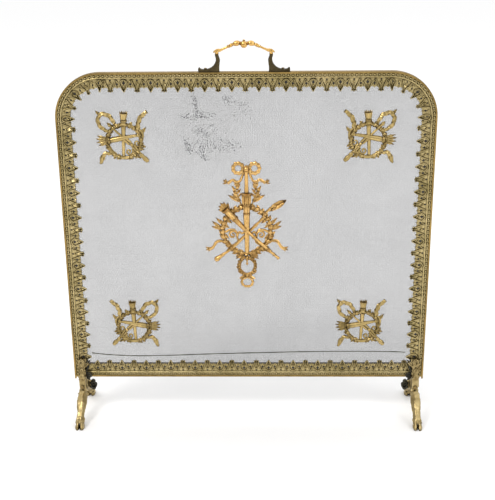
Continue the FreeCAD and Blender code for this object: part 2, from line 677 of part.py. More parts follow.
def mount_ribbons(at):
    """Curling ribbons and leaf ends round the ring."""
    loop = [at(-17.5, 32.5), at(-21.0, 42.0), at(-27.5, 49.0), at(-36.0, 52.0), at(-44.0, 49.5),
            at(-46.2, 40.6), at(-45.0, 31.0), at(-38.0, 23.5), at(-28.5, 20.0)]
    horn = [at(24.5, 22.0), at(27.6, 29.0), at(28.4, 37.0), at(32.5, 45.0), at(38.0, 50.5), at(44.5, 55.0)]
    tail = [at(-22.0, -23.5), at(-30.0, -22.5), at(-36.5, -24.0), at(-42.0, -29.5), at(-45.0, -36.0),
            at(-46.5, -43.0)]
    shapes = [
        ribbon(loop, [3.6, 4.4, 4.8, 4.8, 4.8, 4.6, 4.4, 4.2, 4.0], 1.0, 3.0),
        leaf(at(-43.0, 48.0), at(-49.5, 57.5), 4.4, 1.2, 2.8),
        ribbon(horn, [4.4, 5.2, 5.4, 5.0, 4.4, 1.4], 1.2, 3.2),
        ribbon(tail, [5.0, 5.2, 5.4, 5.2, 4.6, 1.6], 1.2, 3.2),
        leaf(at(-34.0, -24.0), at(-38.5, -14.5), 4.0, 1.6, 2.6),
        oval(at(22.5, -5.0), 5.4, 5.0, 3.2, 1.2, 3.2),
        oval(at(7.5, -20.5), 4.8, 4.6, 3.0, 1.2, 3.2),
    ]
    for root, tip in ((at(-27.0, 20.0), at(-30.5, 34.5)), (at(12.0, 31.0), at(15.5, 42.0)),
                      (at(31.0, 14.0), at(41.0, 25.0)), (at(-19.0, -27.5), at(-22.0, -41.5)),
                      (at(32.5, -8.0), at(42.5, -12.5)), (at(2.0, -33.5), at(9.0, -42.5)),
                      (at(28.0, 40.0), at(36.5, 37.0)), (at(-33.0, 9.5), at(-41.5, 15.5))):
        shapes.append(leaf(root, tip, 6.0, 1.4, 2.8))
    return shapes


def mount_wreath():
    shapes = [ring((0.0, 0.0), 32.0, 3.2, 2.8)]
    return shapes + wreath_leaves(32.0, 7, 10.5, 5.4, 14.0)


def corner_mount(hand):
    """A corner mount in place at the top: hand is -1 for the one at the upper left, 1 for the right."""
    def at(x, z):
        return -hand * x, z

    shapes = mount_torch(at) + mount_quiver(at) + mount_club(at) + mount_ribbons(at) + mount_wreath()
    return casting(shapes, hand * MOUNT_X, MOUNT_TOP_Z)


def corner_mounts():
    """The same casting serves diagonally opposite corners."""
    mounts = {"mount_top_left": corner_mount(-1), "mount_top_right": corner_mount(1)}
    for upper, lower, shift in (("mount_top_left", "mount_bottom_right", 2.0 * MOUNT_X),
                                ("mount_top_right", "mount_bottom_left", -2.0 * MOUNT_X)):
        mounts[lower] = mounts[upper].copy()
        mounts[lower].translate(Vector(shift, 0, MOUNT_BOTTOM_Z - MOUNT_TOP_Z))
    return mounts


# ---- studs and nuts ----------------------------------------------------------------------------

def stud_places():
    """Where the castings are bolted through the cloth."""
    places = [(0.0, TROPHY_Z + 60.0), (0.0, TROPHY_Z - 33.0), (0.0, TROPHY_Z - 93.5)]
    for x in (-MOUNT_X, MOUNT_X):
        for z in (MOUNT_TOP_Z, MOUNT_BOTTOM_Z):
            places += [(x, z + 32.0), (x, z - 32.0)]
    return places


def studs(places):
    end = MESH_REAR_Y + STUD_TAIL
    return Part.makeCompound([rod_y(x, z, MESH_FRONT_Y, end, STUD_RADIUS) for x, z in places])


def hexagon(x, z, across_flats):
    reach = across_flats / math.sqrt(3.0)
    turns = [math.radians(60.0 * step + 30.0) for step in range(6)]
    return [(x + reach * math.cos(turn), z + reach * math.sin(turn)) for turn in turns]


def nuts(places):
    pieces = []
    for x, z in places:
        nut = prism(hexagon(x, z, NUT_SIZE), MESH_REAR_Y, MESH_REAR_Y + NUT_HEIGHT)
        pieces.append(nut.cut(rod_y(x, z, MESH_REAR_Y, MESH_REAR_Y + NUT_HEIGHT, STUD_RADIUS)))
    return Part.makeCompound(pieces)


# ---- handle ------------------------------------------------------------------------------------

def loop_section(centre, across, along, half_across, half_along):
    """A closed smooth section about centre, in the plane of two unit vectors."""
    steps = 12
    points = []
    for step in range(steps):
        turn = 2.0 * math.pi * step / steps
        sideways = across * (half_across * math.cos(turn))
        points.append(centre + sideways + along * (half_along * math.sin(turn)))
    curve = Part.BSplineCurve()
    curve.interpolate(points, PeriodicFlag=True)
    return Part.Wire(curve.toShape())


def bracket_outline():
    """Side outline of the left bracket: (x from the handle's middle, height above the rail)."""
    return [(-81.3, 0.0), (-82.0, 3.0), (-82.4, 6.0), (-81.4, 7.6), (-79.6, 7.4), (-77.6, 5.6), (-73.0, 5.0),
            (-66.0, 5.4), (-60.0, 7.2), (-55.4, 10.6), (-51.8, 15.4), (-50.0, 21.0), (-50.2, 25.4),
            (-51.8, 29.6), (-52.2, 31.6), (-46.0, 31.6), (-45.6, 28.4), (-44.0, 24.6), (-43.6, 20.6),
            (-44.8, 15.0), (-45.6, 9.0), (-45.0, 0.0)]


def bracket_left():
    outline = [(HANDLE_X + x, TOP_Z + rise) for x, rise in bracket_outline()]
    body = prism(outline, -HANDLE_DEPTH / 2.0, HANDLE_DEPTH / 2.0)
    screw_x = HANDLE_X - HANDLE_SCREW_X
    body = body.cut(rod_z(screw_x, 0.0, TOP_Z, TOP_Z + 12.0, SCREW_SHANK_RADIUS))
    return body.cut(pin_left())


def pin_left():
    return rod_z(HANDLE_X - 48.8, 0.0, TOP_Z + 25.0, TOP_Z + 36.0, PIN_RADIUS)


def foot_screw_left():
    """The screw through the bracket's foot and the rail into the core bar."""
    x = HANDLE_X - HANDLE_SCREW_X
    seat = TOP_Z + 5.4
    shank = rod_z(x, 0.0, seat - HANDLE_SCREW_LENGTH, seat, SCREW_SHANK_RADIUS)
    head = rod_z(x, 0.0, seat, seat + SCREW_HEAD_HEIGHT, SCREW_HEAD_RADIUS)
    return fused([shank, head])


def bar_profile():
    """(x from the middle, height above the rail, radius) along half of the grip."""
    return [(0.0, 50.6, 3.0), (4.5, 51.0, 3.0), (6.6, 51.2, 3.6), (8.0, 51.4, 3.2), (9.6, 51.6, 4.4),
            (13.0, 51.4, 4.7), (17.0, 50.2, 4.0), (19.6, 49.2, 2.8), (21.0, 48.6, 2.4), (22.4, 48.0, 3.0),
            (24.0, 47.2, 2.3), (27.0, 45.8, 2.1), (28.4, 45.1, 2.8), (30.0, 44.3, 2.1), (37.0, 41.2, 1.9),
            (44.0, 38.0, 2.2), (46.5, 36.6, 2.8)]


def bar_sections():
    """Sections of the grip, from the left root to the right root."""
    half = bar_profile()
    path = [(-x, z, radius) for x, z, radius in reversed(half[1:])] + half
    sections = []
    for index, (x, z, radius) in enumerate(path):
        before = path[max(index - 1, 0)]
        after = path[min(index + 1, len(path) - 1)]
        tangent = Vector(after[0] - before[0], 0, after[1] - before[1])
        tangent.normalize()
        side = Vector(-tangent.z, 0, tangent.x)
        centre = Vector(HANDLE_X + x, 0, TOP_Z + z)
        sections.append(loop_section(centre, Vector(0, 1, 0), side, radius, radius))
    return sections


def handle_bar():
    """The polished grip: a turned arch with a ball at its middle and an ear at each end."""
    grip = Part.makeLoft(bar_sections(), True, True)
    ball = Part.makeSphere(BALL_RADIUS, Vector(HANDLE_X, 0, TOP_Z + 51.0 - BALL_DROP))
    button = Part.makeSphere(2.0, Vector(HANDLE_X, 0, TOP_Z + 56.0))
    shapes = [grip, ball, button]
    ear = [(-54.6, 35.4), (-53.2, 37.6), (-50.4, 39.4), (-46.6, 39.8), (-44.0, 38.4), (-45.0, 34.4),
           (-46.0, 31.6), (-51.6, 31.6)]
    for sign in (1, -1):
        outline = [(HANDLE_X + sign * x, TOP_Z + rise) for x, rise in ear]
        shapes.append(prism(outline, -4.0, 4.0))
    pins = [pin_left(), mirrored(pin_left(), HANDLE_X)]
    return fused(shapes).cut(pins)


# ---- feet --------------------------------------------------------------------------------------

def leg_spine():
    """(distance forward of the frame's middle, height, half width, half thickness) down the leg."""
    return [(9.0, 54.0, 6.6, 6.6), (13.0, 49.0, 7.4, 7.0), (20.0, 45.0, 8.4, 7.6), (29.0, 41.5, 9.2, 8.2),
            (38.0, 37.0, 9.4, 8.0), (46.5, 30.5, 8.4, 6.8), (53.0, 23.5, 7.2, 5.8), (58.5, 18.0, 7.6, 6.2),
            (62.5, 14.0, 8.8, 7.6), (66.0, 9.0, 8.6, 7.6)]


def cabriole(x):
    """The curved leg down to the top of the hoof, at the front."""
    spine = leg_spine()
    sections = []
    for index, (out, z, half_width, half_thick) in enumerate(spine):
        before = spine[max(index - 1, 0)]
        after = spine[min(index + 1, len(spine) - 1)]
        tangent = Vector(0, -(after[0] - before[0]), after[1] - before[1])
        tangent.normalize()
        normal = Vector(0, tangent.z, -tangent.y)
        sections.append(loop_section(Vector(x, -out, z), Vector(1, 0, 0), normal, half_width, half_thick))
    return Part.makeLoft(sections, True, True)


def hoof(x):
    """The cloven hoof, flat underneath."""
    levels = [(0.0, -71.0, 9.8, 11.0), (3.0, -70.8, 9.8, 11.0), (8.0, -69.0, 9.2, 9.8),
              (13.0, -66.0, 7.6, 7.4)]
    sections = []
    for z, y, half_x, half_y in levels:
        sections.append(loop_section(Vector(x, y, z), Vector(1, 0, 0), Vector(0, 1, 0), half_x, half_y))
    body = Part.makeLoft(sections, True, True)
    cleft = box(x - 0.7, x + 0.7, -90.0, -77.5, -1.0, 20.0)
    return body.cut(cleft)


def leg_front(x):
    """One front casting: knee plate, block, cabriole leg, hoof and side scroll."""
    inner = 1.0 if x < 0 else -1.0
    face = WEB_FRONT_Y - BEAD_RADIUS
    left, right = x - LEG_HALF_WIDTH, x + LEG_HALF_WIDTH
    knee = [(0.0, RAIL_Z - 2.0), (7.0, RAIL_Z - 1.0), (6.4, RAIL_Z + 8.0), (5.0, RAIL_Z + 18.0),
            (6.2, RAIL_Z + 28.0), (5.6, RAIL_Z + 38.0), (2.4, RAIL_Z + KNEE_RISE), (0.0, RAIL_Z + KNEE_RISE)]
    corners = [Vector(left, face - out, z) for out, z in knee]
    plate = Part.Face(Part.makePolygon(corners + corners[:1])).extrude(Vector(right - left, 0, 0))
    block = box(left, right, -BLOCK_DEPTH, 0.0, BLOCK_FOOT_Z, RAIL_Z)
    collar = box(left - 0.8, right + 0.8, -BLOCK_DEPTH - 1.0, -4.0, BLOCK_FOOT_Z - 2.0, BLOCK_FOOT_Z + 1.0)
    shapes = [plate, block, collar, cabriole(x), hoof(x)]
    volute_x = x + inner * (LEG_HALF_WIDTH + 6.5)
    shapes.append(rod_y(volute_x, RAIL_Z + 5.0, face - 4.0, face, 5.0))
    shapes.append(box(min(x, volute_x), max(x, volute_x), face - 3.0, face, RAIL_Z + 3.0, RAIL_Z + 9.0))
    curl_x = x + inner * (LEG_HALF_WIDTH + 3.0)
    shapes.append(rod_y(curl_x, RAIL_Z + 34.0, face - 3.4, face, 4.4))
    shapes.append(box(min(x, curl_x), max(x, curl_x), face - 3.0, face, RAIL_Z + 32.0, RAIL_Z + 37.0))
    bolt_hole = rod_y(x, BOLT_Z, -BLOCK_DEPTH, 0.0, BOLT_RADIUS)
    return fused(shapes).cut(bolt_hole)


def leg_rear(x):
    """One rear casting: block, cabriole leg, hoof and the lobed scroll inside it."""
    inner = 1.0 if x < 0 else -1.0
    left, right = x - LEG_HALF_WIDTH, x + LEG_HALF_WIDTH
    plate = box(left, right, RIM_REAR_Y, RIM_REAR_Y + 3.0, RAIL_Z - 3.0, RAIL_Z + 30.0)
    block = box(left, right, 0.0, BLOCK_DEPTH, BLOCK_FOOT_Z, RAIL_Z)
    limb = fused([cabriole(x), hoof(x)]).mirror(Vector(0, 0, 0), Vector(0, 1, 0))
    shapes = [plate, block, limb]
    for out, z, radius in ((15.0, 57.5, 4.4), (16.5, 50.0, 5.0), (14.5, 43.0, 4.2)):
        shapes.append(rod_y(x + inner * out, z, 14.0, 20.0, radius))
    web_ends = sorted((x + inner * 4.0, x + inner * 15.0))
    shapes.append(box(web_ends[0], web_ends[1], 14.5, 19.5, 42.0, 52.0))
    bolt_hole = rod_y(x, BOLT_Z, 0.0, BLOCK_DEPTH, BOLT_RADIUS)
    return fused(shapes).cut(bolt_hole)


def leg_bolts():
    """Dome-headed bolts that pull the front and rear castings together."""
    pieces = []
    for x in (-LEG_X, LEG_X):
        shank = rod_y(x, BOLT_Z, -BLOCK_DEPTH, BLOCK_DEPTH + 4.0, BOLT_RADIUS)
        head = Part.makeSphere(BOLT_HEAD_RADIUS, Vector(x, -BLOCK_DEPTH, BOLT_Z))
        half_space = box(x - 9.0, x + 9.0, -BLOCK_DEPTH, 9.0, BOLT_Z - 9.0, BOLT_Z + 9.0)
        pieces.append(fused([shank, head.cut(half_space)]))
    return Part.makeCompound(pieces)


def leg_nuts():
    pieces = []
    for x in (-LEG_X, LEG_X):
        nut = prism(hexagon(x, BOLT_Z, LEG_NUT_SIZE), BLOCK_DEPTH, BLOCK_DEPTH + LEG_NUT_HEIGHT)
        pieces.append(nut.cut(rod_y(x, BOLT_Z, BLOCK_DEPTH, BLOCK_DEPTH + LEG_NUT_HEIGHT, BOLT_RADIUS)))
    return Part.makeCompound(pieces)


# ---- everything --------------------------------------------------------------------------------

def build_frame():
    arch_places, rail_places = screw_places()
    handle_screws = [foot_screw_left(), mirrored(foot_screw_left(), HANDLE_X)]
    arch = rim_arch()
    rail = rim_rail(arch)
    export(arch.cut(screw_shanks(arch_places) + handle_screws), "rim_arch")
    export(rail.cut(screw_shanks(rail_places)), "rim_bottom_rail")
    export(bead_arch(), "bead_moulding_arch")
    export(bead_rail(), "bead_moulding_bottom")
    export(core_arch().cut(screw_shanks(arch_places) + handle_screws), "core_bar_arch")
    export(core_rail().cut(screw_shanks(rail_places)), "core_bar_bottom")
    export(rim_screws(arch_places + rail_places), "rim_screws")
    export(Part.makeCompound(handle_screws), "handle_screws")


def build_gallery():
    export(gallery_top(), "gallery_top")
    export(gallery_rail(), "gallery_bottom")
    export(gallery_side(-1), "gallery_left")
    export(gallery_side(1), "gallery_right")
    export(gallery_corner(-1), "gallery_corner_left")
    export(gallery_corner(1), "gallery_corner_right")


def build_panel():
    places = stud_places()
    export(mesh_panel(places), "mesh_panel")
    export(brace_wire(), "brace_wire")
    export(centre_trophy(), "centre_trophy")
    for node, mount in corner_mounts().items():
        export(mount, node)
    export(studs(places), "mount_studs")
    export(nuts(places), "mount_nuts")


def build_handle():
    left = bracket_left()
    export(left, "handle_bracket_left")
    export(mirrored(left, HANDLE_X), "handle_bracket_right")
    export(Part.makeCompound([pin_left(), mirrored(pin_left(), HANDLE_X)]), "handle_pins")
    export(handle_bar(), "handle_bar")


def build_feet():
    export(leg_front(-LEG_X), "leg_front_left")
    export(leg_front(LEG_X), "leg_front_right")
    export(leg_rear(-LEG_X), "leg_rear_left")
    export(leg_rear(LEG_X), "leg_rear_right")
    export(leg_bolts(), "leg_bolts")
    export(leg_nuts(), "leg_nuts")


os.makedirs("parts", exist_ok=True)
build_frame()
build_gallery()
build_panel()
build_handle()
build_feet()
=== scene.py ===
import math
import random

import bmesh
import bpy
from mathutils import Matrix, Vector, noise


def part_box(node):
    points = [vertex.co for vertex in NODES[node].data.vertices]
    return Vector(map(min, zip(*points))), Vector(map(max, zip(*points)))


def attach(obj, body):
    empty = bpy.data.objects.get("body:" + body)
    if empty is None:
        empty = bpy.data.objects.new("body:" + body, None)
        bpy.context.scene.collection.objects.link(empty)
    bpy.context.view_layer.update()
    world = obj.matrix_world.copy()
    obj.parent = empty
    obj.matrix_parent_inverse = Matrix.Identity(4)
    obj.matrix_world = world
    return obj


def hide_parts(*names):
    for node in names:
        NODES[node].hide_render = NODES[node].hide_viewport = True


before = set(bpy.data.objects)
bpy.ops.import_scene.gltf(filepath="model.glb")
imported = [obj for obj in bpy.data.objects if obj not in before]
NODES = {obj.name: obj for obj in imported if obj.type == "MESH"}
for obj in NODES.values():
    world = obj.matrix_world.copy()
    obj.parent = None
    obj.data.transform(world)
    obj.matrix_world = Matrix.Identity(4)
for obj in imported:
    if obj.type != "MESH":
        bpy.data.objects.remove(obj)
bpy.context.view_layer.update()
random.seed(7)
noise.seed_set(7)

# Shapes are drawn in millimetres, in the frame's axes: X across, -Y to the front, +Z up.
MM = 0.001


def node_box(node):
    """Lowest and highest corner of a CAD node, in millimetres."""
    low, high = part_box(node)
    return [v / MM for v in low], [v / MM for v in high]


ARCH_LOW, ARCH_HIGH = node_box("rim_arch")
RAIL_LOW = node_box("rim_bottom_rail")[0]
GALLERY_LOW = node_box("gallery_top")[0]
CLOTH_LOW, CLOTH_HIGH = node_box("mesh_panel")
HALF = ARCH_HIGH[0]
TOP = ARCH_HIGH[2]
RAIL = RAIL_LOW[2]
WEB_Y = ARCH_LOW[1] + 1.2       # face of the rim's web
GALLERY_Y = GALLERY_LOW[1]
CLOTH_Y = CLOTH_LOW[1]
CORNER = 85.0                   # outer radius of the rim

BEAD_LINE = 6.0                 # centre line of the bead row, in from the edge
BEAD_PITCH = 8.2
MOULD_IN, MOULD_OUT = 3.5, 11.4     # edges of the moulding, in from the edge of the frame
MOULD_THICK = 1.5               # of the moulding that lies behind the web's face
VALLEY = 27.4                   # bottoms of the gallery's notches, in from the edge
TIP = 36.5                      # points of the gallery, in from the edge
PITCH = 49.1                    # from one crown of the gallery to the next
MITRE = VALLEY - 3.0            # set back of a strip's inner corner at a mitred end
LEG_X = 334.0
HANDLE_X = -2.0
TROPHY_Z = 393.0
MOUNT_X = 225.0
MOUNT_Z = {"top": 568.0, "bottom": 191.0}
SIDE_NAME = {-1: "left", 1: "right"}


# ---- shape collector

def on_cloth(x, z, hand=1):
    """Places (across, lift, up) on the cloth about a centre; hand -1 mirrors it."""
    def place(u, lift, v):
        return x + hand * u, CLOTH_Y - max(lift, 0), z + v
    return place


def plain(x, y, z):
    return x, y, z


class Shape:
    """Closed shells in millimetres, put in place by a function and made into one object."""

    def __init__(self, place=plain, uneven=0, grain=0.3, back=None):
        self.place = place
        self.uneven = uneven
        self.grain = grain
        self.back = back
        self.points = []
        self.faces = []

    def settled(self):
        """The points in metres, pushed about a little as hand-chased castings are."""
        out = []
        for x, y, z in self.points:
            if self.uneven:
                push = noise.noise_vector(Vector((x, y, z)) * self.grain) * self.uneven
                x, y, z = x + push.x, y + push.y, z + push.z
                y = min(y, self.back) if self.back is not None else y
                z = max(z, 0)
            out.append((x * MM, y * MM, z * MM))
        return out

    def add(self, points, faces):
        base = len(self.points)
        self.points += [self.place(*p) for p in points]
        self.faces += [tuple(base + i for i in face) for face in faces]

    def loft(self, sections, closed=False):
        """Skin between sections of equal count; open ends are capped."""
        count = len(sections[0])
        points = [p for section in sections for p in section]
        faces = []
        last = len(sections) if closed else len(sections) - 1
        for row in range(last):
            a, b = row * count, ((row + 1) % len(sections)) * count
            for i in range(count):
                j = (i + 1) % count
                faces.append((a + i, a + j, b + j, b + i))
        if not closed:
            faces.append(tuple(range(count - 1, -1, -1)))
            end = (len(sections) - 1) * count
            faces.append(tuple(range(end, end + count)))
        self.add(points, faces)

    def mesh(self, name):
        mesh = bpy.data.meshes.new(name)
        mesh.from_pydata(self.settled(), [], self.faces)
        work = bmesh.new()
        work.from_mesh(mesh)
        bmesh.ops.recalc_face_normals(work, faces=work.faces)
        work.to_mesh(mesh)
        work.free()
        return mesh

    def object(self, name, material, nodes=(), sharp=38):
        return finished(name, self.mesh(name), material, nodes, sharp)


def finished(name, mesh, material, nodes, sharp=38):
    mesh.materials.clear()
    mesh.materials.append(material)
    for polygon in mesh.polygons:
        polygon.use_smooth = True
    mesh.set_sharp_from_angle(angle=math.radians(sharp))
    piece = bpy.data.objects.new(name, mesh)
    bpy.context.scene.collection.objects.link(piece)
    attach(piece, "root")
    if nodes:
        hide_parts(*nodes)
    return piece


def smooth(points, steps):
    """A Catmull-Rom curve through points of any size."""
    out = []
    count = len(points)
    for i in range(count - 1):
        p0 = points[max(i - 1, 0)]
        p1, p2 = points[i], points[i + 1]
        p3 = points[min(i + 2, count - 1)]
        for k in range(steps):
            t = k / steps
            out.append(tuple(
                0.5 * (2 * b + (c - a) * t + (2 * a - 5 * b + 4 * c - d) * t * t
                       + (3 * b - 3 * c + d - a) * t ** 3)
                for a, b, c, d in zip(p0, p1, p2, p3)))
    out.append(tuple(points[-1]))
    return out


def frames(path, hint, closed=False):
    """Centre, side and up vectors along a path; hint is roughly up."""
    out = []
    count = len(path)
    for i in range(count):
        if closed:
            before, after = path[i - 1], path[(i + 1) % count]
        else:
            before, after = path[max(i - 1, 0)], path[min(i + 1, count - 1)]
        tangent = (Vector(after) - Vector(before)).normalized()
        side = tangent.cross(hint)
        if side.length < 1e-6:
            side = tangent.orthogonal()
        side.normalize()
        out.append((Vector(path[i]), side, side.cross(tangent).normalized()))
    return out


def tube(shape, path, sizes, sides=12, hint=(0, 1, 0), closed=False, ridges=0, depth=0, spin=0):
    """A tube along (u, lift, v) points; sizes are (half across, half deep) pairs or radii."""
    sections = []
    for step, (centre, side, up) in enumerate(frames(path, Vector(hint), closed)):
        size = sizes[step] if isinstance(sizes, list) else sizes
        across, deep = size if isinstance(size, tuple) else (size, size)
        ring = []
        for k in range(sides):
            turn = 2 * math.pi * k / sides
            swell = 1 + depth * math.cos(ridges * turn + spin * step) if ridges else 1
            ring.append(tuple(centre + side * (across * swell * math.cos(turn))
                              + up * (deep * swell * math.sin(turn))))
        sections.append(ring)
    shape.loft(sections, closed)


def flat_tube(shape, chain, widths, lift, deep, steps=4, sides=10, ridges=0, depth=0, spin=0, side=1):
    """A strap through (x, z) points, lying at one height, widths given at each point; side -1 mirrors it."""
    rows = smooth([(side * x, z, w) for (x, z), w in zip(chain, widths)], steps)
    path = [(x, lift, z) for x, z, w in rows]
    sizes = [(max(w, 0.3) / 2, deep) for x, z, w in rows]
    tube(shape, path, sizes, sides, ridges=ridges, depth=depth, spin=spin)


def lathe(shape, start, end, profile, sides=20, flutes=0, depth=0, round_ends=True):
    """A turned rod between two points; profile is (share of the length, radius) pairs."""
    a, b = Vector(start), Vector(end)
    axis = (b - a).normalized()
    side = axis.orthogonal().normalized()
    up = axis.cross(side)
    sections = []
    for share, radius in profile:
        centre = a.lerp(b, share)
        ring = []
        for k in range(sides):
            turn = 2 * math.pi * k / sides
            r = radius * (1 + depth * math.cos(flutes * turn)) if flutes else radius
            ring.append(tuple(centre + side * (r * math.cos(turn)) + up * (r * math.sin(turn))))
        sections.append(ring)
    shape.loft(sections)


def ball(shape, centre, radius, sides=14, rows=8, squash=1):
    c = Vector(centre)
    profile = []
    for k in range(rows + 1):
        turn = math.pi * (0.04 + 0.92 * k / rows)
        profile.append((0.5 - 0.5 * math.cos(turn), radius * math.sin(turn)))
    lathe(shape, c - Vector((0, 0, radius * squash)), c + Vector((0, 0, radius * squash)), profile, sides)


def leaf(shape, root, tip, width, arch=1.2, cup=0.25, thick=1, lobes=0, along=9, across=6, twist=0,
         normal=(0, 1, 0), blunt=0.8):
    """A veined leaf from root to tip, both (u, lift, v); its back is thick behind its face."""
    a, b = Vector(root), Vector(tip)
    run = (b - a).normalized()
    side = run.cross(Vector(normal)).normalized()
    up = side.cross(run).normalized()
    face, back = [], []
    for i in range(along + 1):
        t = i / along
        spread = math.sin(math.pi * min(0.06 + 0.94 * t ** blunt, 0.995)) ** 0.8
        if lobes:
            spread *= 1 + 0.2 * math.cos(2 * math.pi * lobes * t)
        half = max(width * 0.5 * spread, width * 0.04)
        turn = twist * t
        for k in range(across + 1):
            s = 2 * k / across - 1
            groove = -0.16 * width * math.exp(-(s / 0.25) ** 2)
            vein = 0.05 * width * math.sin(3 * math.pi * (2 * t + abs(s)))
            rise = arch * math.sin(math.pi * t) - cup * half * abs(s) ** 1.6 + groove + vein
            offset = side * (s * half * math.cos(turn)) + up * (rise + s * half * math.sin(turn))
            point = a.lerp(b, t) + offset
            face.append(tuple(point))
            back.append(tuple(point - up * thick))
    row = across + 1
    top = len(face)
    faces = []
    for i in range(along):
        for k in range(across):
            p = i * row + k
            faces.append((p, p + 1, p + row + 1, p + row))
            faces.append((top + p, top + p + row, top + p + row + 1, top + p + 1))
    edge = [(k, k + 1) for k in range(across)]
    edge += [(i * row + across, (i + 1) * row + across) for i in range(along)]
    edge += [(along * row + k + 1, along * row + k) for k in reversed(range(across))]
    edge += [((i + 1) * row, i * row) for i in reversed(range(along))]
    for p, q in edge:
        faces.append((p, top + p, top + q, q))
    shape.add(face + back, faces)


def spiral(shape, centre, start_radius, turns, start_turn, sizes, lift, hand=1, sides=10, steps=30):
    """A volute that winds inwards, thinning from sizes[0] to sizes[1]."""
    path, widths = [], []
    for k in range(steps + 1):
        t = k / steps
        turn = start_turn + hand * 2 * math.pi * turns * t
        radius = start_radius * (1 - 0.82 * t)
        x, z = centre[0] + radius * math.cos(turn), centre[1] + radius * math.sin(turn)
        path.append((x, lift + 0.8 * t, z))
        widths.append(sizes[0] + (sizes[1] - sizes[0]) * t)
    tube(shape, path, widths, sides)
    ball(shape, path[-1], sizes[1] * 1.5, 10, 6)


# ---- materials

class Tree:
    """Adds nodes to a material or world. An input given as a socket is linked, any other is set."""

    def __init__(self, owner):
        owner.use_nodes = True
        self.nodes, self.links = owner.node_tree.nodes, owner.node_tree.links

    def feed(self, socket, value):
        if isinstance(value, bpy.types.NodeSocket):
            self.links.new(value, socket)
        else:
            socket.default_value = value

    def add(self, kind, inputs, **settings):
        node = self.nodes.new(kind)
        for name, value in settings.items():
            setattr(node, name, value)
        for name, value in inputs.items():
            self.feed(node.inputs[name], value)
        return node

    def noise(self, place, scale, detail, rough, seed=None):
        inputs = {"Vector": place, "Scale": scale, "Detail": detail, "Roughness": rough}
        if seed is None:
            return self.add("ShaderNodeTexNoise", inputs).outputs["Fac"]
        inputs["W"] = seed
        return self.add("ShaderNodeTexNoise", inputs, noise_dimensions="4D").outputs["Fac"]

    def spread(self, value, low, high, to_low=0, to_high=1):
        """The value taken from between low and high to between to_low and to_high."""
        return self.add("ShaderNodeMapRange", {"Value": value, "From Min": low, "From Max": high,
                                               "To Min": to_low, "To Max": to_high}).outputs["Result"]

    def combine(self, operation, *values):
        return self.add("ShaderNodeMath", dict(enumerate(values)), operation=operation).outputs["Value"]

    def mix(self, factor, a, b):
        """Colour a where the factor is 0, colour b where it is 1."""
        return self.add("ShaderNodeMix", {"Factor": factor, 6: a, 7: b}, data_type="RGBA").outputs[2]

    def ramp(self, value, *stops):
        """Greys between two (position, red, green, blue) stops."""
        node = self.add("ShaderNodeValToRGB", {"Fac": value})
        for element, (position, *colour) in zip(node.color_ramp.elements, stops):
            element.position = position
            element.color = (*colour, 1)
        return node.outputs["Color"]


def metal(name, bright, dull, recess_shade, roughness=(0.28, 0.5), grain=260, recess_shade_amount=0.8, bump=0.12,
          reach=0.004, patch=18, metallic=1):
    """Cast or rolled metal: patches of bright and dull, and painted shade in the recesses, made from ambient
    occlusion, which partly stands for patina there.
    """
    material = bpy.data.materials.new(name)
    tree = Tree(material)
    tree.nodes.clear()
    out = tree.add("ShaderNodeOutputMaterial", {})
    place = tree.add("ShaderNodeTexCoord", {}).outputs["Object"]
    broad = tree.noise(place, patch, 5, 0.6)
    fine = tree.noise(place, grain, 4, 0.6)
    share = tree.combine("MULTIPLY", tree.spread(fine, 0.35, 0.68), 0.45)
    worn = tree.combine("MULTIPLY_ADD", tree.spread(broad, 0.36, 0.64), 0.55, share)
    # Ambient occlusion darkens the recesses towards the third colour: painted shade, partly standing for dark
    # patina.
    recess = tree.add("ShaderNodeAmbientOcclusion", {"Distance": reach}, samples=4).outputs["AO"]
    painted_recess_shade = tree.spread(recess, 0.97, 0.52, 0, recess_shade_amount)
    colour = tree.mix(painted_recess_shade, tree.mix(worn, (*bright, 1), (*dull, 1)), (*recess_shade, 1))
    dents = tree.add("ShaderNodeBump", {"Strength": bump, "Distance": 0.0006, "Height": fine})
    shader = tree.add("ShaderNodeBsdfPrincipled", {
        "Base Color": colour, "Roughness": tree.spread(worn, 0, 1, *roughness),
        "Normal": dents.outputs["Normal"], "Metallic": metallic})
    tree.feed(out.inputs["Surface"], shader.outputs["BSDF"])
    return material


def cloth_metal():
    """Grey steel wire, with a sooty patch high up on the left and specks all over."""
    material = metal("wire_cloth_steel", (0.24, 0.24, 0.245), (0.14, 0.14, 0.147), (0.08, 0.08, 0.08),
                     (0.45, 0.65), 30, 0.2, 0, 0.002, 7, 0.6)
    tree = Tree(material)
    shader = next(n for n in tree.nodes if n.type == "BSDF_PRINCIPLED")
    colour = shader.inputs["Base Color"].links[0].from_socket
    place = next(n for n in tree.nodes if n.type == "TEX_COORD").outputs["Object"]
    # (centre, half size, scale of the spots, low and high cut, seed), in metres
    for (x, z), (wide, tall), scale, low, high, seed in (
            ((-0.070, 0.595), (0.115, 0.095), 40, 0.36, 0.72, 1),
            ((-0.090, 0.610), (0.050, 0.070), 150, 0.44, 0.54, 2),
            ((-0.085, 0.550), (0.090, 0.035), 170, 0.44, 0.54, 3),
            ((-0.02, 0.630), (0.050, 0.035), 170, 0.48, 0.58, 5),
            ((0, 0.35), (0.42, 0.40), 240, 0.685, 0.74, 6)):
        shift = tree.add("ShaderNodeMapping", {"Location": (-x / wide, 0, -z / tall),
                                               "Scale": (1 / wide, 0, 1 / tall), "Vector": place})
        distance = tree.add("ShaderNodeVectorMath", {0: shift.outputs["Vector"]}, operation="LENGTH")
        spots = tree.noise(place, scale, 7, 0.72, seed)
        mask = tree.combine("MULTIPLY", tree.spread(distance.outputs["Value"], 1, 0.15),
                         tree.spread(spots, low, high))
        colour = tree.mix(mask, colour, (0.035, 0.032, 0.03, 1))
    tree.feed(shader.inputs["Base Color"], colour)
    return material
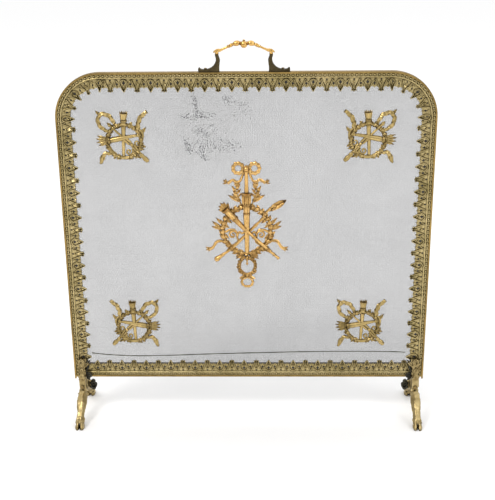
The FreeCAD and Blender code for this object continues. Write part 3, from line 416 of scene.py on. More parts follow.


# The third colour of each metal is painted shade for its recesses, partly standing for patina.
OLIVE = metal("aged_brass", (0.66, 0.53, 0.27), (0.34, 0.27, 0.105), (0.030, 0.022, 0.008),
              (0.26, 0.42), 300, 1, 0.2, 0.0035)
RIM = metal("rim_brass_worn", (0.42, 0.28, 0.09), (0.20, 0.14, 0.05), (0.05, 0.038, 0.02),
            (0.3, 0.5), 90, 0.7, 0.06, 0.004, 11)
TROPHY = metal("gilt_bright", (0.84, 0.53, 0.20), (0.50, 0.29, 0.09), (0.06, 0.03, 0.008),
               (0.2, 0.36), 160, 1, 0.15, 0.006, 26)
MOUNT = metal("gilt_dull", (0.64, 0.47, 0.20), (0.34, 0.25, 0.09), (0.045, 0.026, 0.009),
              (0.22, 0.4), 200, 1, 0.15, 0.006, 30)
GOLD = metal("handle_gold", (0.86, 0.55, 0.19), (0.55, 0.31, 0.08), (0.10, 0.045, 0.010),
             (0.2, 0.36), 150, 1, 0.06, 0.005, 30)
# The brackets below the gold knuckles: a dark copy of the handle brass, painted shade and dark reflection,
# with some patina.
BRACKET_SHADED = metal("bracket_bronze", (0.115, 0.088, 0.042), (0.05, 0.038, 0.02), (0.015, 0.012, 0.008),
               (0.3, 0.5), 160, 0.7, 0.1, 0.004)
LEG = metal("leg_brass", (0.60, 0.47, 0.23), (0.30, 0.22, 0.09), (0.03, 0.024, 0.012),
            (0.26, 0.48), 130, 0.85, 0.15, 0.005, 34)
# A dark copy of the leg brass for the inner scrolls and the rear leaf: painted shade where they sit in
# shadow, with some dark patina.
LEG_SHADED = metal("leg_brass_shaded", (0.10, 0.09, 0.06), (0.035, 0.034, 0.03), (0.012, 0.012, 0.01),
                 (0.3, 0.55), 130, 0.8, 0.15, 0.005, 34)
HARDWARE = metal("hardware_brass_dull", (0.40, 0.28, 0.10), (0.2, 0.14, 0.06), (0.04, 0.03, 0.02))
IRON = metal("core_iron_black", (0.12, 0.105, 0.08), (0.06, 0.052, 0.04), (0.01, 0.01, 0.01),
             (0.45, 0.7), 120, 0.5, 0.2)
TIE = metal("tie_wire_dark", (0.13, 0.14, 0.09), (0.07, 0.075, 0.05), (0.03, 0.03, 0.02), (0.4, 0.6))
STEEL = cloth_metal()


# ---- CAD parts that are shown as they are

def dress(node, material, bevel=0.0):
    piece = NODES[node]
    piece.data.materials.clear()
    piece.data.materials.append(material)
    if bevel:
        edge = piece.modifiers.new("edges", "BEVEL")
        edge.width = bevel * MM
        edge.segments = 2
        edge.limit_method = "ANGLE"
        edge.angle_limit = math.radians(50.0)
        edge.harden_normals = False


for material, bevel, names in (
        (RIM, 0.35, ("rim_arch", "rim_bottom_rail")),
        (IRON, 0.0, ("core_bar_arch", "core_bar_bottom")),
        (TIE, 0.0, ("brace_wire",)),
        (HARDWARE, 0.0, ("rim_screws", "handle_screws", "mount_studs", "mount_nuts", "handle_pins",
                         "leg_bolts", "leg_nuts"))):
    for name in names:
        dress(name, material, bevel)


# ---- beaded moulding

SPRING = TOP - CORNER
SIDE_RUN = SPRING - RAIL
ARC_RUN = (CORNER - BEAD_LINE) * math.pi / 2
TOP_RUN = 2 * (HALF - CORNER)
ARCH_RUN = 2 * SIDE_RUN + 2 * ARC_RUN + TOP_RUN


def arch_place(s, inset):
    """(x, z) at a distance along the bead row from the left foot, and an inset from the edge."""
    if s <= SIDE_RUN:
        return -HALF + inset, RAIL + s
    s -= SIDE_RUN
    if s <= ARC_RUN:
        turn = math.pi - s / ARC_RUN * math.pi / 2
        r = CORNER - inset
        return -HALF + CORNER + r * math.cos(turn), SPRING + r * math.sin(turn)
    s -= ARC_RUN
    if s <= TOP_RUN:
        return -HALF + CORNER + s, TOP - inset
    s -= TOP_RUN
    if s <= ARC_RUN:
        turn = math.pi / 2 - s / ARC_RUN * math.pi / 2
        r = CORNER - inset
        return HALF - CORNER + r * math.cos(turn), SPRING + r * math.sin(turn)
    return HALF - inset, SPRING - (s - ARC_RUN)


# (inset, lift off the moulding's back) round its section
MOULD_SECTION = [
    (MOULD_IN, 1.5), (3.8, 1.3), (4.4, 0.9), (6, 0.8), (7.6, 0.9), (8.2, 1.4), (8.6, 2), (9.2, 2.5),
    (9.9, 2.6), (10.5, 2.3), (10.9, 1.7), (MOULD_OUT, 1.4), (MOULD_OUT, 0), (MOULD_IN, 0)]


def bead(shape, along, wobble):
    """One bead, longer along the row than across it."""
    sides = 12
    sections = []
    for height, wide in ((0, 1), (0.42, 0.92), (0.76, 0.66), (0.97, 0.28)):
        ring = []
        for j in range(sides):
            turn = 2 * math.pi * j / sides
            ring.append((along + 2.5 * wide * wobble * math.cos(turn), 0.7 + 2.6 * height,
                         BEAD_LINE + 1.9 * wide * math.sin(turn)))
        sections.append(ring)
    shape.loft(sections)


def moulding(name, node, start, end, place):
    def raised(s, lift, inset):
        x, z = place(s, inset)
        return x, WEB_Y + MOULD_THICK - lift, z

    shape = Shape(raised)
    stops = [start, end]
    if place is arch_place:
        for corner_start in (SIDE_RUN, SIDE_RUN + ARC_RUN + TOP_RUN):
            stops += [corner_start + ARC_RUN * k / 24 for k in range(25)]
    stops = sorted(set(s for s in stops if start <= s <= end))
    shape.loft([[(s, lift, inset) for inset, lift in MOULD_SECTION] for s in stops])
    count = round((end - start) / BEAD_PITCH)
    for k in range(count):
        bead(shape, start + (end - start) * (k + 0.5) / count, 1 + 0.08 * math.sin(k * 2.4))
    return shape.object(name, OLIVE, (node,), 50)


moulding("beaded_moulding_arch", "bead_moulding_arch", 1.5, ARCH_RUN - 1.5, arch_place)
moulding("beaded_moulding_bottom", "bead_moulding_bottom", -HALF + MOULD_OUT, HALF - MOULD_OUT,
         lambda s, inset: (s, RAIL + inset))


# ---- gallery

CROWN, LEAF = 0, 2              # kinds of quarter pitch; a stud stands on the two between them
# Left halves of the outlines, from the valley up to the point.
TIPS = {
    CROWN: [(-7.6, VALLEY), (-6, VALLEY + 1), (-4.6, VALLEY + 2.6), (-3.9, 31.4), (-4.4, 32.4), (-5.2, 33.4),
            (-4.6, 34.6), (-3.2, 35.2), (-1.8, 34.9), (-1.5, 36), (0, TIP)],
    LEAF: [(-5.6, VALLEY), (-4.2, VALLEY + 1.6), (-2.8, VALLEY + 3.8), (-1.3, VALLEY + 6.6), (0, TIP)],
}
STUD_TIP = [(-1.9, VALLEY), (-1.7, VALLEY + 0.8), (-0.9, VALLEY + 1.5), (0, VALLEY + 1.8)]
HOLES = {
    CROWN: [[(-7, 21.6), (-6.4, 19.2), (-4.8, 22.4)], [(4.8, 22.4), (6.4, 19.2), (7, 21.6)],
            [(-2.2, 13.8), (0, 12.2), (2.2, 13.8), (0, 16.4)]],
    LEAF: [[(-3.2, 19.2), (0, 15.2), (3.2, 19.2), (0, 22.4)]],
}
STUD_HOLES = [[(-2.6, 21), (0, 18.4), (2.6, 21), (0, 24.4)]]


def tip_outline(kind, along, squeeze):
    half = TIPS.get(kind, STUD_TIP)
    return [(along + x * squeeze, v) for x, v in half + [(-x, v) for x, v in reversed(half[:-1])]]


def quarters(start, end, crown_at, pitch):
    """(kind, place along) of every quarter pitch between two ends."""
    quarter = pitch / 4
    first = math.ceil((start - crown_at) / quarter)
    last = math.floor((end - crown_at) / quarter)
    return [(step % 4, crown_at + step * quarter) for step in range(first, last + 1)]


def plate(outline, holes, y_front, y_back, bevel=0.18):
    """A flat plate with holes, as a mesh: filled outlines given thickness and soft edges."""
    curve = bpy.data.curves.new("plate", "CURVE")
    curve.dimensions = "2D"
    curve.fill_mode = "BOTH"
    curve.extrude = (abs(y_back - y_front) / 2 - bevel) * MM
    curve.bevel_depth = bevel * MM
    curve.bevel_resolution = 1
    curve.offset = -bevel * MM
    for ring in [outline] + holes:
        spline = curve.splines.new("POLY")
        spline.points.add(len(ring) - 1)
        for point, (x, z) in zip(spline.points, ring):
            point.co = (x * MM, z * MM, 0, 1)
        spline.use_cyclic_u = True
    holder = bpy.data.objects.new("plate", curve)
    bpy.context.scene.collection.objects.link(holder)
    bpy.context.view_layer.update()
    evaluated = holder.evaluated_get(bpy.context.evaluated_depsgraph_get())
    mesh = bpy.data.meshes.new_from_object(evaluated)
    bpy.data.objects.remove(holder)
    turn = Matrix.Rotation(math.radians(90), 4, "X")
    mesh.transform(Matrix.Translation((0, (y_front + y_back) / 2 * MM, 0)) @ turn)
    return mesh


def joined(name, meshes, material, nodes, sharp=38):
    work = bmesh.new()
    for mesh in meshes:
        work.from_mesh(mesh)
    bmesh.ops.remove_doubles(work, verts=work.verts, dist=1e-7)
    whole = bpy.data.meshes.new(name)
    work.to_mesh(whole)
    work.free()
    return finished(name, whole, material, nodes, sharp)


def gallery(name, node, start, end, crown_at, pitch, squeeze, place, lower_mitre, upper_mitre, crumple=0,
            proud=0):
    """One pierced strip with its raised lattice, leaves, balls and crowns."""
    inner_start = start + (MITRE if lower_mitre else 0)
    inner_end = end - (MITRE if upper_mitre else 0)
    edge, holes = [], []
    marks = quarters(start, end, crown_at, pitch)
    for kind, along in marks:
        tip = tip_outline(kind, along, squeeze)
        if tip[0][0] > inner_start and tip[-1][0] < inner_end:
            if edge and tip[0][0] <= edge[-1][0]:
                tip = [p for p in tip if p[0] > edge[-1][0] + 0.05]
            edge += tip
    for kind, along in marks:
        if along - 9 * squeeze < inner_start or along + 9 * squeeze > inner_end:
            continue
        holes += [[(along + x * squeeze, v) for x, v in hole] for hole in HOLES.get(kind, STUD_HOLES)]

    def bent(s, v):
        if crumple:
            s += crumple * math.sin(v * 0.45 + s * 0.22)
            v += 0.5 * crumple * math.sin(s * 0.31)
        return place(s, v)

    count = 40 if crumple else 1
    outer = [(start + (end - start) * k / count, 2) for k in range(count, -1, -1)]
    outline = [(inner_start, VALLEY)] + edge + [(inner_end, VALLEY)] + outer
    front_y = GALLERY_Y - proud
    base = plate([bent(*p) for p in outline], [[bent(*p) for p in hole] for hole in holes],
                 front_y, front_y + 1.2)

    def raised(s, lift, v):
        x, z = bent(s, v)
        return x, front_y - 1.5 * lift, z

    shape = Shape(raised, 0.2, 0.5)
    q = squeeze

    def rib(points):
        tube(shape, smooth([(s, 0.3, v) for s, v in points], 2), (1, 1.7), 6)

    for kind, along in marks:
        wobble = random.uniform(-0.3, 0.3)
        if along - 4 * q < inner_start or along + 4 * q > inner_end:
            continue
        if kind not in (CROWN, LEAF):
            ball(shape, (along, 0.5, 16.2 + wobble), 1.55, 10, 6)
            ball(shape, (along, 0.4, VALLEY - 0.9), 1.5, 8, 5)
        elif kind == LEAF:
            for sign in (-1, 1):
                rib([(along, 12.6), (along + sign * 7.8 * q, 19.4), (along + sign * 0.4 * q, 35.6)])
            leaf(shape, (along, 0.2, 23.4), (along, 0.9, 32.4), 4.2, 0.9, 0.3, 0.9, along=6, across=4)
            ball(shape, (along, 0.7, 24.6 + wobble), 1.6, 8, 5)
        else:
            for sign in (-1, 1):
                rib([(along + sign * x * q, v) for x, v in ((10.6, 13), (7.6, 20), (4.4, 27.6), (3.4, 31.6))])
                leaf(shape, (along + sign * 0.8 * q, 0.3, 19), (along + sign * 3.4 * q, 0.8, 33),
                     3.2, 1.1, 0.3, 0.8, along=5, across=4)
                ball(shape, (along + sign * 4 * q, 0.8, 33.6), 1.45, 8, 5)
            leaf(shape, (along, 0.4, 18), (along + wobble, 1.3, 34.6), 3.6, 1.2, 0.3, 1, along=6, across=4)
            ball(shape, (along, 0.9, 35.1), 1.45, 8, 5)
            ball(shape, (along, 0.8, 18.4), 1.7, 8, 5)
    return joined(name, [base, shape.mesh("relief")], OLIVE, (node,))


CORNER_LINE = CORNER - 24     # radius on which a corner strip's length is measured


def corner_place(sign):
    def place(s, inset):
        r = CORNER - inset
        turn = s / CORNER_LINE
        return sign * (HALF - CORNER + r * math.cos(turn)), SPRING + r * math.sin(turn)
    return place


CORNER_RUN = CORNER_LINE * math.pi / 2
gallery("gallery_strip_top", "gallery_top", -HALF + CORNER, HALF - CORNER, 0, PITCH, 1,
        lambda s, v: (s, TOP - v), False, False)
gallery("gallery_strip_bottom", "gallery_bottom", -HALF + 2, HALF - 2, PITCH / 3, PITCH, 1,
        lambda s, v: (s, RAIL + v), True, True)
gallery("gallery_strip_left", "gallery_left", RAIL + 2, SPRING, RAIL + 19, PITCH, 1,
        lambda s, v: (-HALF + v, s), True, False)
gallery("gallery_strip_right", "gallery_right", RAIL + 2, SPRING, RAIL + 19, PITCH, 1,
        lambda s, v: (HALF - v, s), True, False)
for side, name in SIDE_NAME.items():
    gallery("gallery_bend_" + name, "gallery_corner_" + name, -6.5, CORNER_RUN + 6.5, CORNER_RUN / 4,
            CORNER_RUN / 2, 0.72, corner_place(side), False, False, 0.7, 0.2)


# ---- wire cloth

# Soot caught in the cloth: strokes from (x, z) to (x, z), their spread and number of flecks.
SOOT = [(-93, 652, -88, 606, 3.5, 130), (-118, 614, -96, 612, 4, 50), (-84, 616, -54, 613, 4, 60),
        (-92, 584, -72, 582, 4.5, 70), (-113, 573, -103, 541, 3.5, 90), (-85, 552, -76, 530, 3.5, 80),
        (-100, 556, -12, 556, 7, 200), (-35, 648, -29, 640, 4, 50), (-22, 636, 8, 622, 8, 80),
        (-80, 590, -60, 570, 16, 120)]


def wire_cloth():
    """Two layers of fine straight wires, upright and level, cut to the rounded outline."""
    pitch = 1.3
    thick = 0.218
    jitter = 0.05
    edge = 3
    apart = 0.1
    shape = Shape()
    middle_y = (CLOTH_LOW[1] + CLOTH_HIGH[1]) / 2
    half, top, foot = HALF - edge, TOP - edge, RAIL + edge
    radius = CORNER - edge

    def limit(over, reach):
        """Reach of a wire that lies this far past the start of the corner."""
        if over <= 0:
            return reach
        return reach - radius + math.sqrt(max(radius ** 2 - over ** 2, 0))

    def wire(a, b, across):
        """A straight wire whose section is a small diamond."""
        side = Vector(across) * thick
        deep = Vector((0, thick, 0))
        ring = [side, deep, -side, -deep]
        shape.loft([[tuple(Vector(p) + v) for v in ring] for p in (a, b)])

    def spaced(low, high):
        """Places of the wires between two edges, a little uneven."""
        count = int((high - low) / pitch)
        for k in range(count + 1):
            place = low + (high - low) * k / count + random.uniform(-jitter, jitter)
            yield max(low, min(high, place))

    for x in spaced(-half, half):
        high = limit(abs(x) - (half - radius), top)
        wire((x, middle_y - apart, foot), (x, middle_y - apart, high), (1, 0, 0))
    for z in spaced(foot, top):
        reach = limit(z - (top - radius), half)
        wire((-reach, middle_y + apart, z), (reach, middle_y + apart, z), (0, 0, 1))
    for x0, z0, x1, z1, spread, count in SOOT:
        for k in range(count):
            share = random.random()
            x = x0 + (x1 - x0) * share + random.gauss(0, spread)
            z = z0 + (z1 - z0) * share + random.gauss(0, spread)
            tall = random.uniform(0.25, 0.75)
            wire((x, middle_y, z - tall), (x, middle_y, z + tall), (random.uniform(1.5, 3), 0, 0))
    return shape.object("woven_wire_cloth", STEEL, ("mesh_panel",), 80)


wire_cloth()


# ---- castings

def wreath(shape, centre, radius, core, leaf_length, leaf_width, rows, gap=12, lift=3, half_x=None):
    """A laurel ring: a core wrapped in leaves that climb both sides from its foot, with berries."""
    across = half_x or radius

    def on_ring(turn, rise=0):
        return Vector((centre[0] + across * math.cos(turn), lift + rise, centre[1] + radius * math.sin(turn)))

    ring = [tuple(on_ring(2 * math.pi * k / 48)) for k in range(48)]
    tube(shape, ring, core, 10, closed=True)
    for side in (-1, 1):
        for step in range(rows):
            angle = -90 + side * (gap + (180 - 2 * gap) * step / (rows - 1))
            turn = math.radians(angle)
            for lean, rise in ((-34, 0.4), (34, 0.4), (0, core * 0.75)):
                length = leaf_length * random.uniform(0.85, 1.15) * (0.85 if lean == 0 else 1)
                aim = turn + side * math.radians(90 - lean + random.uniform(-10, 10))
                root = on_ring(turn, rise)
                tip = root + Vector((length * math.cos(aim), 0.4 + rise * 0.5, length * math.sin(aim)))
                leaf(shape, tuple(root), tuple(tip), leaf_width, 1.9, 0.45, 1.4, along=6, across=4)
            if step % 2 == 0:
                spot = on_ring(turn, core * 0.9) + Vector((math.cos(turn), 0, math.sin(turn))) * core * 0.9
                ball(shape, tuple(spot), leaf_width * 0.24, 8, 5)


def fluted(shape, start, end, radius_start, radius_end, flutes=10, sides=40):
    rows = 6
    profile = [(k / rows, radius_start + (radius_end - radius_start) * k / rows) for k in range(rows + 1)]
    lathe(shape, start, end, profile, sides, flutes, 0.09)


def collar(shape, centre, direction, radius, width):
    """A moulded ring round a rod."""
    c, d = Vector(centre), Vector(direction).normalized()
    profile = [(0, radius * 0.86), (0.1, radius * 0.97), (0.3, radius), (0.42, radius * 0.93),
               (0.58, radius * 0.93), (0.7, radius), (0.9, radius * 0.97), (1, radius * 0.86)]
    lathe(shape, c - d * width / 2, c + d * width / 2, profile, 22)


def ribbon_bow_loop(shape, centre, half_x, half_z, width, lift, knots=9):
    """A puckered ribbon loop."""
    path, sizes = [], []
    steps = 44
    for k in range(steps):
        turn = 2 * math.pi * k / steps
        pinch = 1 + 0.22 * math.cos(knots * turn)
        path.append((centre[0] + half_x * math.cos(turn), lift, centre[1] + half_z * math.sin(turn)))
        sizes.append((width / 2 * pinch, 2 * pinch))
    tube(shape, path, sizes, 10, closed=True)


def fork(shape, end, aim, length, width, lift):
    """The swallow-tailed end of a ribbon."""
    for lean in (-26, 26):
        turn = math.radians(aim + lean)
        tip = (end[0] + length * math.cos(turn), lift + 0.4, end[1] + length * math.sin(turn))
        leaf(shape, (end[0], lift, end[1]), tip, width, 0.6, 0.2, 1.6, along=5, across=4, blunt=0.5)


def leaves(shape, rows, lifts, arch, cup, thick, lobes=0, side=1):
    """Leaves as (x and z of the root, x and z of the tip, width) rows."""
    for x0, z0, x1, z1, wide in rows:
        leaf(shape, (side * x0, lifts[0], z0), (side * x1, lifts[1], z1), wide, arch, cup, thick, lobes)


def trophy_bow(shape, side):
    ribbon_bow_loop(shape, (side * 15.2, 122), 9.2, 9.6, 7.4, 2.8)
    tail = [(2, 116), (6, 112), (9.6, 103), (13.5, 96.5), (20, 96.5), (25, 100), (30, 97),
            (36, 93.5)]
    flat_tube(shape, tail, [4.2, 4.8, 4.6, 5, 5.4, 5.2, 5.8, 6.4], 3, 1.7, 4, ridges=3, depth=0.12, side=side)
    fork(shape, (side * 36, 94), 90 - side * 78, 9.5, 4, 2.6)
    fork(shape, (side * 37, 95), 90 - side * 45, 7, 3.2, 2.6)


def trophy_staff(shape):
    lathe(shape, (0, 3.6, 118), (0, 3.6, 72), [(0, 3.2), (0.05, 4), (0.1, 3.4), (0.6, 3.8), (1, 4.3)], 24)
    collar(shape, (0, 3.8, 71.6), (0, 0, 1), 10.6, 4.2)
    fluted(shape, (0, 3.6, 70.5), (0, 3.6, 53), 8.6, 8, 12, 48)
    collar(shape, (0, 3.8, 50.8), (0, 0, 1), 9.2, 3.6)
    fluted(shape, (0, 3.6, 49.5), (0, 3.6, 35), 6.8, 5.6, 10, 40)
    collar(shape, (0, 3.8, 33.4), (0, 0, 1), 6.9, 3.8)
    fluted(shape, (0, 3.6, 31.5), (0, 3.2, -47), 5.9, 3.5, 8, 40)
    collar(shape, (0, 3.4, -48), (0, 0, 1), 4.6, 3)
    ball(shape, (0, 2.6, -59.6), 3.6)
    lathe(shape, (0, 2.4, -50), (0, 2.4, -69), [(0, 2.4), (0.3, 1.5), (0.7, 1.4), (1, 1.2)], 12)
    ball(shape, (0, 2.2, -69), 2.5)


def trophy_spray(shape, side):
    """Laurel beside the staff."""
    stem = [(8, 47), (13, 57), (18.5, 68), (20, 80), (16.5, 90)]
    flat_tube(shape, stem, [2.6, 2.6, 2.4, 2.2, 1.6], 2.4, 1.2, side=side)
    leaves(shape, [(12, 56.5, 34.5, 70, 7.4)], (2.6, 3.2), 1.8, 0.3, 1.8, side=side)
    leaves(shape, [(11, 58, 27.5, 72.5, 6)], (2, 2.4), 1.4, 0.3, 1.6, side=side)
    leaves(shape, [(17, 66, 25.5, 79, 5.6), (19, 71, 10.5, 82, 5.4), (20, 76, 27.5, 88, 5.8),
                   (19.5, 80, 11.5, 92, 5.2), (18, 85, 21.5, 97, 5.4), (17, 65, 9, 74, 4.6),
                   (17.5, 87, 13, 97, 4.6)], (2.8, 3), 1.3, 0.35, 1.6, side=side)
    ball(shape, (side * 21.5, 3.8, 75), 1.7, 10, 6)
    ball(shape, (side * 15.8, 3.8, 80), 1.6, 10, 6)


def trophy_side(shape, side):
    """Loose leaves, scrolls and ribbon on one side of the great wreath."""
    leaves(shape, [(45, 0, 66, 18.5, 7.2), (46, 2, 66.5, 7.6, 6.4), (44, 10, 58, 25, 6),
                   (38, 22, 27.5, 14, 5.6), (43, 12, 33, 4, 5.6), (44.5, -8, 33.5, -17, 5.6),
                   (42, -17, 52, -9, 5.4), (36, -29, 25, -33, 5.6),
                   (30, -36, 41, -44, 5.6), (14, -45, 21.5, -55, 5)],
           (3.2, 3.6), 1.6, 0.35, 1.6, side=side)
    spiral(shape, (side * 27, -9.5), 9, 1.25, math.radians(200 if side > 0 else -20), (2.5, 1.5), 3, -side)
    for chain, widths, lift, deep in (
            ([(18.4, -11), (14.5, -4), (9, -6.5), (3, -3)], [4.2, 4.6, 4.6, 5], 3.2, 2),
            ([(18.5, -6.5), (24, 0.6), (33, 0), (41.5, -3.5), (46, 1)], [3.8, 4.8, 4.8, 4.4, 3.8], 3, 2),
            ([(19, -14), (16.5, -22), (23, -29), (31.5, -33)], [3.8, 4.4, 4.4, 3.8], 2.6, 1.8)):
        flat_tube(shape, chain, widths, lift, deep, side=side)
    drape = [(36, -30), (43, -23.5), (51, -21.5), (58, -23.5), (62.5, -30), (67, -36), (72.5, -38)]
    flat_tube(shape, drape, [4.6, 5.2, 5.6, 6, 5.4, 5.8, 6.2], 3, 1.7, 4, ridges=3, depth=0.12, side=side)
    fork(shape, (side * 72, -37.5), 90 - side * 92, 8, 4.2, 2.6)
    fork(shape, (side * 71, -38.5), 90 - side * 128, 6.5, 4, 2.6)


def trophy_quiver(shape):
    """Quiver and spear, from upper left to lower right."""
    fluted(shape, (-39, 4.6, 41), (-22, 4.6, 22.5), 6.8, 6, 8, 40)
    collar(shape, (-38.8, 4.8, 40.8), (-17, 0, 18.5), 9, 3.6)
    collar(shape, (-22, 4.8, 22.8), (-17, 0, 18.5), 7.4, 3.4)
    fluted(shape, (-22.5, 5, 23), (-2, 5.6, 1.5), 5, 3.9, 7, 42)
    lathe(shape, (-2, 5.8, 1.5), (40, 5.2, -38.5), [(0, 3.4), (0.3, 3.1), (0.6, 3), (1, 2.9)], 18)
    collar(shape, (14, 5.8, -13.8), (1, 0, -0.95), 4.5, 3)
    collar(shape, (40.5, 5.2, -39), (1, 0, -0.95), 4.9, 3.2)
    lathe(shape, (41, 5, -39.6), (61.5, 3.6, -58.6),
          [(0, 2.8), (0.15, 3.6), (0.3, 2.7), (0.42, 2.6), (0.5, 4), (0.58, 2.7), (0.75, 2.4), (0.88, 3.3),
           (0.96, 3), (1, 1.6)], 18)
    leaves(shape, [(-37, 39, -54, 41, 7.4), (-37.5, 40, -53, 48, 7.4), (-38, 40, -50, 55, 7.4),
                   (-38, 41, -43.5, 56.5, 7.4), (-36.5, 40.5, -35, 55, 7.4)], (4.6, 3.4), 1.8, 0.3, 2.4, 4)


def trophy_torch(shape):
    """Torch with the leaf-shaped blade, from upper right to lower left."""
    leaf(shape, (38, 2.6, 37), (75, 3.4, 59.5), 13, 1.6, 0.12, 2.6, along=14, across=8, blunt=1.25)
    flat_tube(shape, [(30, 24), (34, 30), (39, 37.5), (46, 42)], [3.6, 4.2, 4.6, 3], 3.4, 1.8)
    collar(shape, (33.5, 3.6, 27.5), (1, 0, 1), 5, 3.6)
    lathe(shape, (35, 3.6, 28), (-29, 3.6, -37),
          [(0, 2.6), (0.08, 3.5), (0.14, 2.5), (0.22, 2.6), (0.28, 3.6), (0.34, 2.7), (0.7, 2.8),
           (1, 3.2)], 18)
    collar(shape, (-28.5, 3.8, -36), (1, 0, 1), 4.6, 3.4)
    lathe(shape, (-29, 3.6, -37), (-61.5, 2.8, -61.5),
          [(0, 3.2), (0.2, 2.4), (0.45, 2.6), (0.5, 3.6), (0.55, 3), (0.75, 4.2), (0.88, 5.4), (0.97, 4.6),
           (1, 2.6)], 20)


def trophy_pendant(shape):
    """Hanging wreath and ring."""
    wreath(shape, (0, -73), 17.5, 2.9, 6.5, 4.6, 9, gap=14, lift=2.6, half_x=15.5)
    for side in (-1, 1):
        leaves(shape, [(2, -48, 22, -58.5, 6.2)], (3, 2.8), 1.6, 0.35, 1.8, side=side)
        leaves(shape, [(3, -49, 15, -43, 5.4)], (3, 3), 1.4, 0.35, 1.6, side=side)
        flat_tube(shape, [(17, -84), (9, -89), (-2, -93.5)], [4.2, 4.4, 4], 3.6, 1.8, 4,
                  ridges=3, depth=0.12, side=side)
        flat_tube(shape, [(14, -99.5), (8, -95), (-2, -90.5)], [4, 4, 3.6], 3.4, 1.7, 4,
                  ridges=3, depth=0.12, side=side)
    ball(shape, (0, 4.2, -92.5), 3.4)
    ribbon_bow_loop(shape, (0, -107), 10.6, 9.6, 5.2, 2.6, 10)


def trophy():
    shape = Shape(on_cloth(0, TROPHY_Z), 0.5, 0.22, CLOTH_Y)
    for side in (-1, 1):
        trophy_bow(shape, side)
    ball(shape, (0, 5, 121), 4.8, 14, 8)
    leaf(shape, (0, 4.6, 128), (0, 4, 112), 9, 3.4, 0.4, 2.6)
    trophy_staff(shape)
    for side in (-1, 1):
        trophy_spray(shape, side)
    wreath(shape, (0, 0), 47, 2.7, 12, 6.6, 15, gap=9, lift=2.8, half_x=46)
    for side in (-1, 1):
        trophy_side(shape, side)
    trophy_quiver(shape)
    trophy_torch(shape)
    # knot where everything crosses
    for turn in (40, 130, 85):
        aim = math.radians(turn)
        reach = Vector((math.cos(aim), 0, math.sin(aim))) * 7
        tube(shape, [tuple(Vector((0, 4.4, 0)) - reach), (0, 8.2, 0), tuple(Vector((0, 4.4, 0)) + reach)],
             [(1.8, 1.4)] * 3, 10)
    trophy_pendant(shape)
    return shape.object("trophy_casting", TROPHY, ("centre_trophy",))


def mount_torch(shape):
    fluted(shape, (0.6, 4, 41), (1.2, 4, 52.5), 5, 6.8, 9, 45)
    for k, tip in enumerate((-6.2, -2.8, 0.9, 4.6, 8)):
        leaf(shape, (1 + (tip - 1) * 0.6, 4.4, 49), (tip + 0.4, 3.4, 56.4 + (k % 2)), 3.6, 1, 0.3, 2.2,
             along=5, across=4, blunt=0.6)
    collar(shape, (0.5, 3.8, 38.6), (0, 0, 1), 6.6, 3.6)
    lathe(shape, (0.4, 3.8, 37), (0.2, 3.8, 30.5), [(0, 4.8), (0.5, 5.6), (1, 4.4)], 22)
    collar(shape, (0, 3.8, 28.4), (0, 0, 1), 5.6, 3.4)
    lathe(shape, (0, 3.8, 27), (-2.4, 3, -27), [(0, 4.3), (0.3, 4.1), (0.7, 3.4), (1, 2.8)], 20)


def mount_quiver(shape):
    leaves(shape, [(-26, 3, -50, 10.5, 6.6), (-26, 2, -52.5, 4.5, 6.6), (-26, 1, -52, -2.5, 6.6),
                   (-26, 0, -48, -8.5, 6.6)], (4.6, 3.2), 1.5, 0.3, 2.2, 3)
    collar(shape, (-27.5, 4.2, 1.8), (1, 0, 0.16), 7.6, 4)
    lathe(shape, (-26, 4.4, 2), (26.5, 4, 11.8),
          [(0, 5), (0.1, 5.4), (0.3, 5.2), (0.5, 5), (0.62, 3.6), (0.85, 3), (0.93, 2.8), (1, 2.2)], 20)
    ball(shape, (26.5, 4.2, 11.6), 3.8, 14, 8)


def mount_club(shape):
    lathe(shape, (-25.5, 3.6, 30), (-4.5, 5.4, 10.4),
          [(0, 2.4), (0.2, 1.8), (0.32, 2.8), (0.4, 1.8), (0.7, 2), (1, 2.4)], 14)
    for a in (-2.3, 2.3):
        lathe(shape, (-4.6 + a * 0.66, 5.6, 11 + a * 0.75), (12 + a * 0.66, 5.6, -4.4 + a * 0.75),
              [(0, 1.3), (0.1, 2.3), (0.5, 2.6), (0.9, 2.3), (1, 1.4)], 14)
        lathe(shape, (15.6 + a * 0.7, 5.4, -7.4 + a * 0.7), (31 + a * 0.4, 4.6, -26.4 + a * 0.4),
              [(0, 1.2), (0.1, 2.2), (0.6, 2), (1, 1.4)], 14)
    ball(shape, (14, 5.6, -6), 3.6, 14, 8)
    lathe(shape, (28, 4.6, -23.6), (43.6, 3.4, -39.4),
          [(0, 2.4), (0.1, 3.6), (0.24, 4.4), (0.38, 3.3), (0.5, 4.2), (0.66, 4.9), (0.8, 4), (0.9, 4.2),
           (1, 2)], 20)
    ball(shape, (-26, 3.4, 30), 3, 12, 7)


